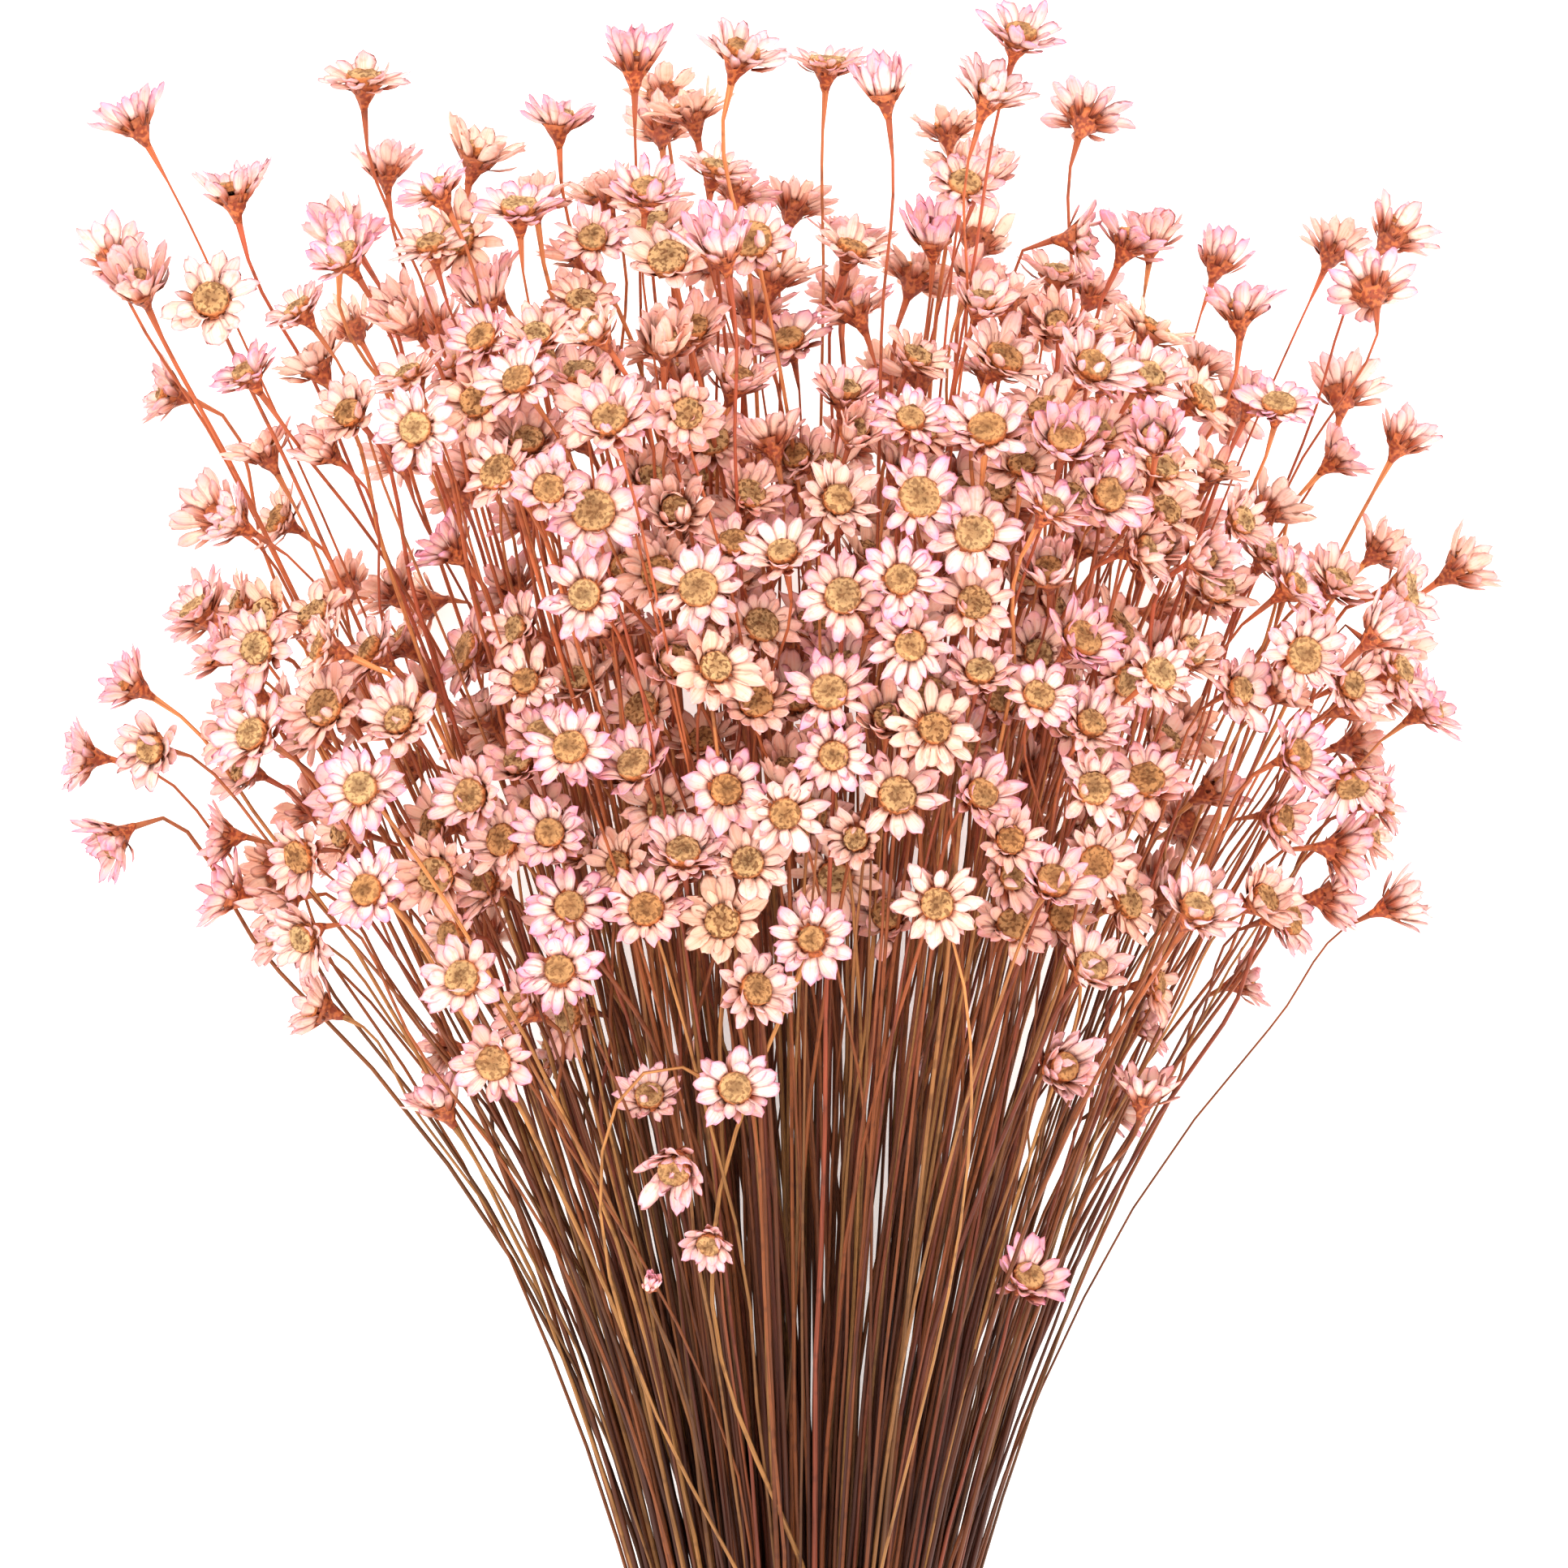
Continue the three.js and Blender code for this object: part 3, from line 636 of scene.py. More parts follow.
    def fill_gaps(self, most: int) -> None:
        """Adds small heads in the gaps that the bunch still shows from above.

        Of each round's drawn places that are clear, the one furthest from the other heads as
        the view from above shows them is kept, on the spare root nearest its own way.

        Args:
            most: How many heads to add at most.
        """
        draws = np.random.default_rng(SEED)
        n = self.count
        self.lines = (self.p[:n][self.stem[:n]], self.q[:n][self.stem[:n]])
        spare = self.spare_roots()
        solids = gather(self.placed, "centre")
        for row in [*self.missed, *LOW_HEADS]:
            self.take(self.late_sprig(row, spare), spare)
        for turn in range(min(most, len(spare))):
            heads = gather(self.placed, "centre")
            radii = gather(self.placed, "radius")
            best, most_room = None, 0.0
            for _ in range(GAP_TRIES):
                made = self.gap_sprig(draws, spare, turn % 6 == 5)
                centre = np.array(made.centre)
                away = np.linalg.norm(heads - centre, axis=1) - GAP_REACH * (radii + made.radius)
                room = np.linalg.norm((heads - centre) * [1, 1, 0.35], axis=1).min()
                if away.min() < 0 or room < most_room or not self.among(centre, solids):
                    continue
                own = (np.array(made.path[:-1]), np.array(made.path[1:]))
                if line_gaps(centre[None], *self.lines).min() < STEM_ROOM * made.radius:
                    continue
                if (line_gaps(heads, *own).min(1) < STEM_ROOM * radii).any():
                    continue
                best, most_room = made, room
            if best is not None:
                self.take(best, spare)
        self.shade_heads()
        self.mark_arches()

    def take(self, made: Sprig, spare: list[tuple[float, float]]) -> None:
        """Adds a sprig on its spare root, to the strand nearest that root."""
        made.settle_runs()
        spans = [math.dist(strand, made.root) for strand in self.strands]
        made.spray = spans.index(min(spans))
        spare.remove(made.root)
        self.placed.append(made)
        p, q = self.lines
        self.lines = (np.vstack([p, made.path[:-1]]), np.vstack([q, made.path[1:]]))

    def late_sprig(self, row: tuple[float, ...], spare: list[tuple[float, float]]) -> Sprig:
        """A listed head that the solids had no room for, at the depth with most room round it."""
        u, s, face = self.listed(row)
        heads = gather(self.placed, "centre")
        size = row[6] if len(row) > 6 else LATE_SIZE
        tries = []
        for shift in DEPTH_SHIFTS:
            v = row[2] + shift
            near = max(1.0, math.hypot(u, v))
            root = min(spare, key=lambda place: math.dist(place, (u / near, v / near)))
            made = self.sprig_at(root, (u, v, s), face, size, math.radians(row[5]))
            room = np.linalg.norm(heads - np.array(made.centre), axis=1).min()
            tries.append((min(room, HEAD_RADIUS * MOST_ROOM) - SHIFT_COST * abs(shift), made))
        return max(tries, key=lambda pair: pair[0])[1]

    def shade_heads(self) -> None:
        """Marks how deep each head lies, by the heads above it, up to three."""
        heads = gather(self.placed, "centre")
        off = heads[None] - heads[:, None]
        beside = np.hypot(off[..., 0], off[..., 1]) < SHADE_REACH
        above = beside & (off[..., 2] > SHADE_RISE)
        for one, count in zip(self.placed, above.sum(1)):
            one.shade = min(1.0, count / SHADE_HEADS)

    def mark_arches(self) -> None:
        """Tells the heads whose stems bend over how far they swing."""
        heads = gather(self.placed, "centre")
        shades = gather(self.placed, "shade")
        for across, above, low, high in ARCHES:
            level = FAN_START + above + EDGE_ABOVE_START
            away = np.hypot(heads[:, 0] - across, heads[:, 1] - level) + SHADE_COST * shades
            self.placed[int(away.argmin())].arch = (low, high)

    def gap_sprig(
        self, draws: np.random.Generator, spare: list[tuple[float, float]], deep: bool
    ) -> Sprig:
        """Draws one small head in a dense part of the view, deep inside it or near its top."""
        part = DENSE[draws.choice(len(DENSE), p=[row[4] for row in DENSE])]
        s = draws.uniform(part[2], part[3]) + EDGE_ABOVE_START
        u = draws.uniform(part[0], part[1]) / spread(s)[0]
        v = draws.uniform(-0.8, 0.4) if deep else draws.uniform(0.5, 1.3)
        v *= math.sqrt(max(0.1, 1 - 0.5 * u * u))
        lean = draws.normal(0, 0.32, 3)
        face = unit(
            (0.8 * u + lean[0], 0.25 + 0.8 * ((s - 180) / 140) + lean[1], 1.1 * v + lean[2])
        )
        near = max(1.0, math.hypot(u, v))
        aim = np.array([u, v]) / near + draws.normal(0, ROOT_STRAY, 2)
        root = min(spare, key=lambda place: math.dist(place, aim))
        size = draws.uniform(0.84, 1.06)
        cup = CLOSED_CUP if draws.random() < 0.14 else draws.uniform(0.1, 0.55)
        return self.sprig_at(root, (u, v, s), face, size, cup)

    @staticmethod
    def among(centre: Array, solids: Array) -> bool:
        """Whether a head lies among the solids' heads and no higher than those round it."""
        off = solids - centre
        beside = np.hypot(off[:, 0], off[:, 1])
        near = np.linalg.norm(off, axis=1).min() < AMONG
        return bool(near and off[beside < AMONG + 4, 2].max(initial=-99) > -AMONG_RISE)


@dataclass
class Shape:
    """Points, faces and attributes of many like bodies, ready to join one piece.

    flow says where a point lies on its body, for patterns that follow the surface, and tint
    carries the body's own tones from the rule to its material, and for the heads a painted shade by
    depth.
    """

    points: Array
    faces: list[Indices]
    flow: Array
    tint: Array


def grid_faces(rows: int, columns: int, wraps: bool) -> Indices:
    """The four corners of each cell of a grid, facing the way rows cross columns.

    Args:
        rows: Rows of points.
        columns: Points in a row.
        wraps: Whether the last point of a row joins its first.

    Returns:
        One row of four indices for each cell.
    """
    across = np.arange(columns if wraps else columns - 1)
    low = np.arange(rows - 1)[:, None] * columns
    here, there = low + across, low + (across + 1) % columns
    return np.stack([here, there, there + columns, here + columns], -1).reshape(-1, 4)


def repeat_faces(faces: Indices, count: int, stride: int) -> Indices:
    """The faces of one body, repeated for each of a count of bodies."""
    return (faces[None] + np.arange(count)[:, None, None] * stride).reshape(-1, faces.shape[1])


def closed_faces(count: int, rings: int, sides: int, outwards: bool) -> list[Indices]:
    """The faces of many rows of rings that a point closes at both ends.

    Args:
        count: How many bodies.
        rings: Rings of each body.
        sides: Points in a ring.
        outwards: Whether the rings follow each other along their own axis.

    Returns:
        The cells between the rings, and the caps.
    """
    here = np.arange(sides)
    there = (here + 1) % sides
    first, last = rings * sides, (rings - 1) * sides
    caps = np.vstack([
        np.stack([np.full(sides, first), there, here], -1),
        np.stack([np.full(sides, first + 1), last + here, last + there], -1),
    ])
    cells = grid_faces(rings, sides, True)
    if not outwards:
        caps, cells = caps[:, [0, 2, 1]], cells[:, ::-1]
    return [repeat_faces(part, count, first + 2) for part in (cells, caps)]


def around(first: Array, second: Array, angle: Array) -> Array:
    """The unit vector at an angle from a first direction towards a second."""
    return np.cos(angle)[..., None] * first + np.sin(angle)[..., None] * second


@dataclass
class Piece:
    """One mesh of the scene, put in the frame in metres."""

    name: str
    material: bpy.types.Material
    slot: str
    shapes: list[Shape]

    def build(self, nodes: list[str]) -> bpy.types.Object:
        """Makes the object, with shift and scale from the bunch's millimetres to the frame.

        Points below the feel of the floor are bent up by an exponential, so none sinks in.

        Args:
            nodes: The solids that the piece stands for.

        Returns:
            The finished object, which rides on the root.
        """
        counts = np.cumsum([0] + [len(shape.points) for shape in self.shapes])
        points = np.vstack([shape.points for shape in self.shapes]) + SHIFT
        low = points[:, 2] < FLOOR_FEEL
        points[low, 2] = FLOOR_GAP + (FLOOR_FEEL - FLOOR_GAP) * np.exp(
            (points[low, 2] - FLOOR_FEEL) / (FLOOR_FEEL - FLOOR_GAP)
        )
        points *= MM
        faces = [
            part + start for shape, start in zip(self.shapes, counts) for part in shape.faces
        ]
        corners = np.concatenate([part.reshape(-1) for part in faces])
        sizes = np.concatenate([np.full(len(part), part.shape[1]) for part in faces])
        mesh = bpy.data.meshes.new(self.name)
        mesh.vertices.add(len(points))
        mesh.vertices.foreach_set("co", points.astype(np.float32).reshape(-1))
        mesh.loops.add(len(corners))
        mesh.loops.foreach_set("vertex_index", corners.astype(np.int32))
        mesh.polygons.add(len(sizes))
        mesh.polygons.foreach_set("loop_start", np.cumsum([0, *sizes[:-1]]).astype(np.int32))
        mesh.polygons.foreach_set("use_smooth", np.ones(len(sizes), bool))
        flow = mesh.attributes.new("flow", "FLOAT_VECTOR", "POINT")
        flow.data.foreach_set("vector", np.vstack([s.flow for s in self.shapes]).reshape(-1))
        tint = mesh.attributes.new("tint", "FLOAT_COLOR", "POINT")
        tint.data.foreach_set("color", np.vstack([s.tint for s in self.shapes]).reshape(-1))
        mesh.update(calc_edges=True)
        mesh.validate()
        mesh.materials.append(self.material)
        made = bpy.data.objects.new(self.name, mesh)
        bpy.context.scene.collection.objects.link(made)
        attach(made, "root")
        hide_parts(*nodes)
        LOG.info("%s: %d faces", self.name, len(sizes))
        return made


@dataclass
class Bracts:
    """Papery bracts: thin closed shells, each a channelled blade with a toothed tip."""

    rows: tuple[float, ...] = (0.0, 0.3, 0.6, 0.86, 1.0)
    columns: tuple[float, ...] = (-1.0, -0.5, 0.0, 0.5, 1.0)
    thickness: float = 0.14
    waist: float = 0.5
    widest: float = 0.5

    def shells(
        self, middle: Array, face: Array, out: Array, foot: Array, length: Array, width: Array,
        lift: Array, curl: Array, channel: Array, twist: Array, blunt: Array, teeth: Array,
        tint: Array,
    ) -> Shape:
        """Many bracts at once.

        The midline leaves the foot at the lift less half the curl and turns evenly by the curl
        along its length, so it is an arc. The half width swells to the widest share and then
        narrows by a square law to its blunt share at the tip. Across it the blade is a shallow
        parabola, turned by the twist as it runs out, and the underside lies one thickness below
        except at the edge, where both sides meet.

        Args:
            middle: Each head's middle.
            face: The way each head faces.
            out: The way each bract leaves its head, at right angles to face.
            foot: The foot's distance from the axis and its rise, two columns.
            length: Length of each bract.
            width: Greatest half width.
            lift: Angle of the chord over the head's plane.
            curl: How far the bract turns from foot to tip.
            channel: Depth of the channel over the half width.
            twist: Turn about its own length.
            blunt: The tip's width over the greatest width.
            teeth: How far each column stops short of the tip, as a share, one row a bract.
            tint: The four shades of each bract.

        Returns:
            The shells as one shape.
        """
        count = len(length)
        share = np.array(self.rows)[None, :, None]
        b = np.array(self.columns)[None, None, :]
        a = share * (1 - teeth[:, None, :] * smooth(share))

        def grow(values: Array) -> Array:
            """One value a bract, for every point of its blade."""
            return values[:, None, None]

        swell = self.waist + (1 - self.waist) * smooth(a / self.widest)
        past = np.clip((a - self.widest) / (1 - self.widest), 0, 1)
        half = grow(width) * swell * (1 - (1 - grow(blunt)) * past**1.7)
        bend = np.where(np.abs(curl) < 0.02, 0.02, curl)
        start = grow(lift - 0.5 * bend)
        angle = start + grow(bend) * a
        reach = grow(foot[:, 0]) + grow(length / bend) * (np.sin(angle) - np.sin(start))
        rise = grow(foot[:, 1]) - grow(length / bend) * (np.cos(angle) - np.cos(start))
        x = half * b
        h = grow(channel) * half * (b * b - 0.3)
        turn = grow(twist) * a
        x, h = x * np.cos(turn) - h * np.sin(turn), x * np.sin(turn) + h * np.cos(turn)
        along, up = out[:, None, None], face[:, None, None]
        side = np.cross(face, out)[:, None, None]
        sheet = (
            middle[:, None, None] + (reach - h * np.sin(angle))[..., None] * along
            + (rise + h * np.cos(angle))[..., None] * up + x[..., None] * side
        )
        normal = -np.sin(angle)[..., None] * along + np.cos(angle)[..., None] * up
        under = sheet - self.thickness * (1 - b**4)[..., None] * normal
        rows, columns = len(self.rows), len(self.columns)
        top = sheet.reshape(count, -1, 3)
        low = under[:, 1:-1, 1:-1].reshape(count, -1, 3)
        flow = np.stack(
            np.broadcast_arrays(b, a, grow(np.arange(count) * 7.31 % 50)), -1
        ).reshape(count, rows * columns, 3)
        low_flow = flow.reshape(count, rows, columns, 3)[:, 1:-1, 1:-1].reshape(count, -1, 3)
        stride = top.shape[1] + low.shape[1]
        index = np.arange(rows * columns).reshape(rows, columns)
        beneath = index.copy()
        beneath[1:-1, 1:-1] = rows * columns + np.arange(low.shape[1]).reshape(
            rows - 2, columns - 2
        )
        cells = grid_faces(rows, columns, False)
        faces = np.vstack([cells[:, ::-1], beneath.reshape(-1)[cells]])
        return Shape(
            np.concatenate([top, low], 1).reshape(-1, 3),
            [repeat_faces(faces, count, stride)],
            np.concatenate([flow, low_flow], 1).reshape(-1, 3),
            np.repeat(tint, stride, 0),
        )


def turned(
    middle: Array, face: Array, side: Array, profile: Array, sides: int, tint: Array,
    relief: Array,
) -> Shape:
    """Bodies of revolution about each head's axis, closed by a point at both ends.

    Each ring stands at its profile's radius and height, and the relief pushes each point out
    and up.

    Args:
        middle: Each head's middle.
        face: The way each head faces.
        side: A direction at right angles to face, where the angle is zero.
        profile: For each head, rings of radius and height, from the top down.
        sides: Points in a ring.
        tint: The four shades of each head.
        relief: For each head, ring and side, a push outwards and a push upwards.

    Returns:
        The bodies as one shape.
    """
    count, rings = profile.shape[:2]
    angle = 2 * math.pi * np.arange(sides) / sides
    across = np.cross(face, side)
    ring = around(side[:, None], across[:, None], angle[None])
    radius = profile[:, :, None, 0] + relief[..., 0]
    height = profile[:, :, None, 1] + relief[..., 1]
    body = (
        middle[:, None, None] + radius[..., None] * ring[:, None]
        + height[..., None] * face[:, None, None]
    )
    ends = middle[:, None] + height[:, [0, -1]].mean(-1)[..., None] * face[:, None]
    flow = np.stack(
        np.broadcast_arrays(
            np.cos(angle)[None, None], np.sin(angle)[None, None],
            np.linspace(0, 1, rings)[None, :, None] + np.zeros((count, 1, 1)),
        ), -1,
    )
    end_flow = np.tile(np.array([[0.0, 0.0, 0.0], [0.0, 0.0, 1.0]]), (count, 1, 1))
    points = np.concatenate([body.reshape(count, -1, 3), ends], 1).reshape(-1, 3)
    flows = np.concatenate([flow.reshape(count, -1, 3), end_flow], 1).reshape(-1, 3)
    faces = closed_faces(count, rings, sides, False)
    return Shape(points, faces, flows, np.repeat(tint, rings * sides + 2, 0))


def sweep(paths: Array, radii: Array, sides: int, tint: Array, lobes: Array | None = None) -> Shape:
    """Round tubes along many paths of equal counts, closed by a point at both ends.

    Each ring is the circle round its point, in the two directions that are carried from ring
    to ring with only the turn that the path itself makes. Lobes, if any, scale each point.

    Args:
        paths: Points of each path.
        radii: Radius at each point.
        sides: Points in a ring.
        tint: The four shades of each tube.
        lobes: For each path, ring and side, a factor on the radius.

    Returns:
        The tubes as one shape.
    """
    count, rings = paths.shape[:2]
    ways = np.gradient(paths, axis=1)
    ways /= np.linalg.norm(ways, axis=-1, keepdims=True)
    side = np.cross(ways[:, 0], np.array([0.0, 0.31, 0.95]))
    sides_at = np.empty_like(paths)
    for i in range(rings):
        side = side - (side * ways[:, i]).sum(-1, keepdims=True) * ways[:, i]
        side = side / np.linalg.norm(side, axis=-1, keepdims=True)
        sides_at[:, i] = side
    across = np.cross(ways, sides_at)
    angle = 2 * math.pi * np.arange(sides) / sides
    radius = np.broadcast_to(radii[..., None], (count, rings, sides))
    if lobes is not None:
        radius = radius * lobes
    body = (
        paths[:, :, None]
        + (radius * np.cos(angle))[..., None] * sides_at[:, :, None]
        + (radius * np.sin(angle))[..., None] * across[:, :, None]
    )
    lengths = np.linalg.norm(np.diff(paths, axis=1), axis=-1)
    along = np.concatenate([np.zeros((count, 1)), np.cumsum(lengths, 1)], 1)
    flow = np.stack(
        np.broadcast_arrays(np.cos(angle), np.sin(angle), along[..., None]), -1
    ).reshape(count, -1, 3)
    end_flow = np.stack([np.zeros((count, 2))] * 2 + [along[:, [0, -1]]], -1)
    return Shape(
        np.concatenate([body.reshape(count, -1, 3), paths[:, [0, -1]]], 1).reshape(-1, 3),
        closed_faces(count, rings, sides, True),
        np.concatenate([flow, end_flow], 1).reshape(-1, 3),
        np.repeat(tint, rings * sides + 2, 0),
    )


class HeadDresser:
    """Dresses a group of heads: papery bracts in layers, a disc of florets and a scaly calyx."""

    outer = Bracts()
    inner = Bracts(columns=(-1.0, -0.36, 0.36, 1.0))
    small = Bracts(rows=(0.0, 0.35, 0.72, 1.0), columns=(-1.0, 0.0, 1.0))
    disc_rings = (0.24, 0.6, 0.86, 1.0, 1.02)
    disc_sides = 12
    calyx_rings = 5
    calyx_sides = 10
    missing = 0.05
    bent_out = 0.06

    def __init__(self, sprigs: list[Sprig], draws: np.random.Generator) -> None:
        """Reads the heads' places, ways, sizes and cups, and draws each one's tones, deep heads in
        painted shade.
        """
        self.draws = draws
        self.middle = gather(sprigs, "centre")
        self.face = gather(sprigs, "face")
        self.side = gather(sprigs, "side")
        self.size = gather(sprigs, "size")
        self.cup = gather(sprigs, "cup")
        self.state = gather(sprigs, "state")
        self.radius = HEAD_RADIUS * self.size
        count = len(sprigs)
        shade = gather(sprigs, "shade")
        # Painted shade: a head that lies deep under others is drawn less pink and more aged, on top
        # of its random age, so its bracts, disc and calyx read darker and more peach.
        pink = np.clip(draws.normal(0.85, 0.2, count) - 0.15 * shade, 0, 1)
        age = np.clip(draws.normal(0.12, 0.12, count) + 0.3 * shade, 0.02, 1)
        self.tint = np.stack([pink, draws.random(count), age, np.zeros(count)], -1)

    def layer(
        self, bracts: Bracts, counts: Array, foot: tuple[float, float], reach: float,
        lift: float, stray: float, wide: float, level: float,
    ) -> Shape:
        """One layer of bracts round every head.

        Args:
            bracts: The blade's grid.
            counts: How many bracts each head has.
            foot: The foot's distance from the axis over the head's radius, and its rise.
            reach: The layer's reach over the head's radius.
            lift: How much steeper than the head's cup the layer stands.
            stray: How far single bracts stray from the layer's angle.
            wide: Width over an even share of the ring.
            level: The layer's mark for the material, 0 for petals and 1 for small bracts.

        Returns:
            The layer as one shape.
        """
        draws = self.draws
        counts = counts.astype(int)
        head = np.repeat(np.arange(len(counts)), counts)
        order = np.arange(len(head)) - np.repeat(np.cumsum(counts) - counts, counts)
        kept = draws.random(len(head)) > self.missing
        head, order = head[kept], order[kept]
        n = len(head)
        angle = 2 * math.pi * (order + 0.2 * draws.normal(size=n)) / counts[head]
        angle = angle + (draws.random(len(counts)) * 2 * math.pi)[head]
        face, radius, cup = self.face[head], self.radius[head], self.cup[head]
        across = np.cross(face, self.side[head])
        out = around(self.side[head], across, angle)
        near = foot[0] * radius
        low = foot[1] * self.size[head]
        run = reach * radius * np.cos(cup) - near * np.where(level > 0, 0.3, 1.0)
        rise = reach * radius * np.sin(cup) - low
        length = np.hypot(run, rise) * draws.normal(1.0, 0.09, n)
        ahead = np.arctan2(rise, run) + lift + stray * draws.normal(size=n)
        ahead += np.where(draws.random(n) < self.bent_out, draws.uniform(0.4, 1.1, n), 0.0)
        width = math.pi * (near + 0.4 * length) / counts[head] * wide * draws.normal(1, 0.12, n)
        teeth = draws.random((n, len(bracts.columns))) * 0.15
        teeth += 0.14 * np.abs(np.array(bracts.columns)) ** 2
        tint = self.tint[head].copy()
        tint[:, 1] = draws.random(n)
        tint[:, 3] = level
        return bracts.shells(
            self.middle[head], face, out, np.stack([near, low], -1), length, width, ahead,
            draws.normal(0.06, 0.42, n), draws.normal(0.36, 0.14, n), draws.normal(0, 0.3, n),
            draws.uniform(0.12, 0.55, n), teeth, tint,
        )

    def petals(self) -> list[Shape]:
        """The outer ring, the shorter and steeper inner ring and the small bracts beneath."""
        full = self.draws.integers(11, 15, len(self.size))
        inner = self.draws.integers(5, 10, len(self.size))
        few = np.full(len(self.size), 8)
        return [
            self.layer(self.outer, full, (0.32, -0.3), 1.03, 0.0, 0.13, 1.06, 0.0),
            self.layer(self.inner, inner, (0.3, 0.1), 0.82, 0.24, 0.2, 0.62, 0.0),
            self.layer(self.small, few, (0.28, -1.5), 0.6, -0.1, 0.15, 0.6, 1.0),
        ]

    def disc(self) -> list[Shape]:
        """The florets' disc: a low dome with a dimple and a raised rim, bumped floret by floret.

        Its height over the rim is a dome of 0.55, less a dimple of 0.4 in the middle fifth,
        with alternate points pushed up and down.
        """
        count = len(self.size)
        share = np.array(self.disc_rings)
        dome = 0.55 * (1 - share**2) - 0.4 * np.exp(-((share / 0.2) ** 2))
        dome += 0.16 * np.exp(-(((share - 0.88) / 0.12) ** 2))
        dome[-1] = -1.0
        base = 0.62 * self.size + 0.2 * self.radius * np.sin(self.cup)
        wide = (0.37 + 0.03 * self.draws.normal(size=count)) * self.radius
        wide = np.where(self.state == Cup.CLOSED, 0.8 * wide, wide)
        profile = np.stack(
            [wide[:, None] * share, base[:, None] + self.size[:, None] * dome], -1
        )
        i, j = np.meshgrid(np.arange(len(share)), np.arange(self.disc_sides), indexing="ij")
        bump = 0.14 * np.where((i + j) % 2 == 0, 1, -1) * (share < 1.01)[:, None]
        noise = self.draws.normal(0, 0.12, (count, *bump.shape)) * (share < 1.01)[:, None]
        relief = np.stack([0.25 * noise, bump + noise], -1)
        return [self.turned(profile, self.disc_sides, relief)]

    def turned(self, profile: Array, sides: int, relief: Array) -> Shape:
        """Bodies turned about the heads' own axes, in their own shades."""
        return turned(self.middle, self.face, self.side, profile, sides, self.tint, relief)

    def calyx(self) -> list[Shape]:
        """The scaly cup: a funnel that narrows by a power of 1.5, with rows of raised scales."""
        count = len(self.size)
        share = np.linspace(0, 1, self.calyx_rings)
        top, foot = 0.4 * self.radius[:, None], CALYX_FOOT * 0.7 * self.size[:, None]
        radius = foot + (top - foot) * (1 - share) ** 1.5
        height = (-0.2 - (CALYX_HEIGHT - 0.2) * share) * self.size[:, None]
        i, j = np.meshgrid(
            np.arange(self.calyx_rings), np.arange(self.calyx_sides), indexing="ij"
        )
        scale = np.where((i + j) % 2 == 0, 0.2, -0.1) * (1 - share)[:, None] ** 0.5
        relief = np.stack([
            scale + self.draws.normal(0, 0.05, (count, *scale.shape)),
            self.draws.normal(0, 0.1, (count, *scale.shape)),
        ], -1)
        return [self.turned(np.stack([radius, height], -1), self.calyx_sides, relief)]


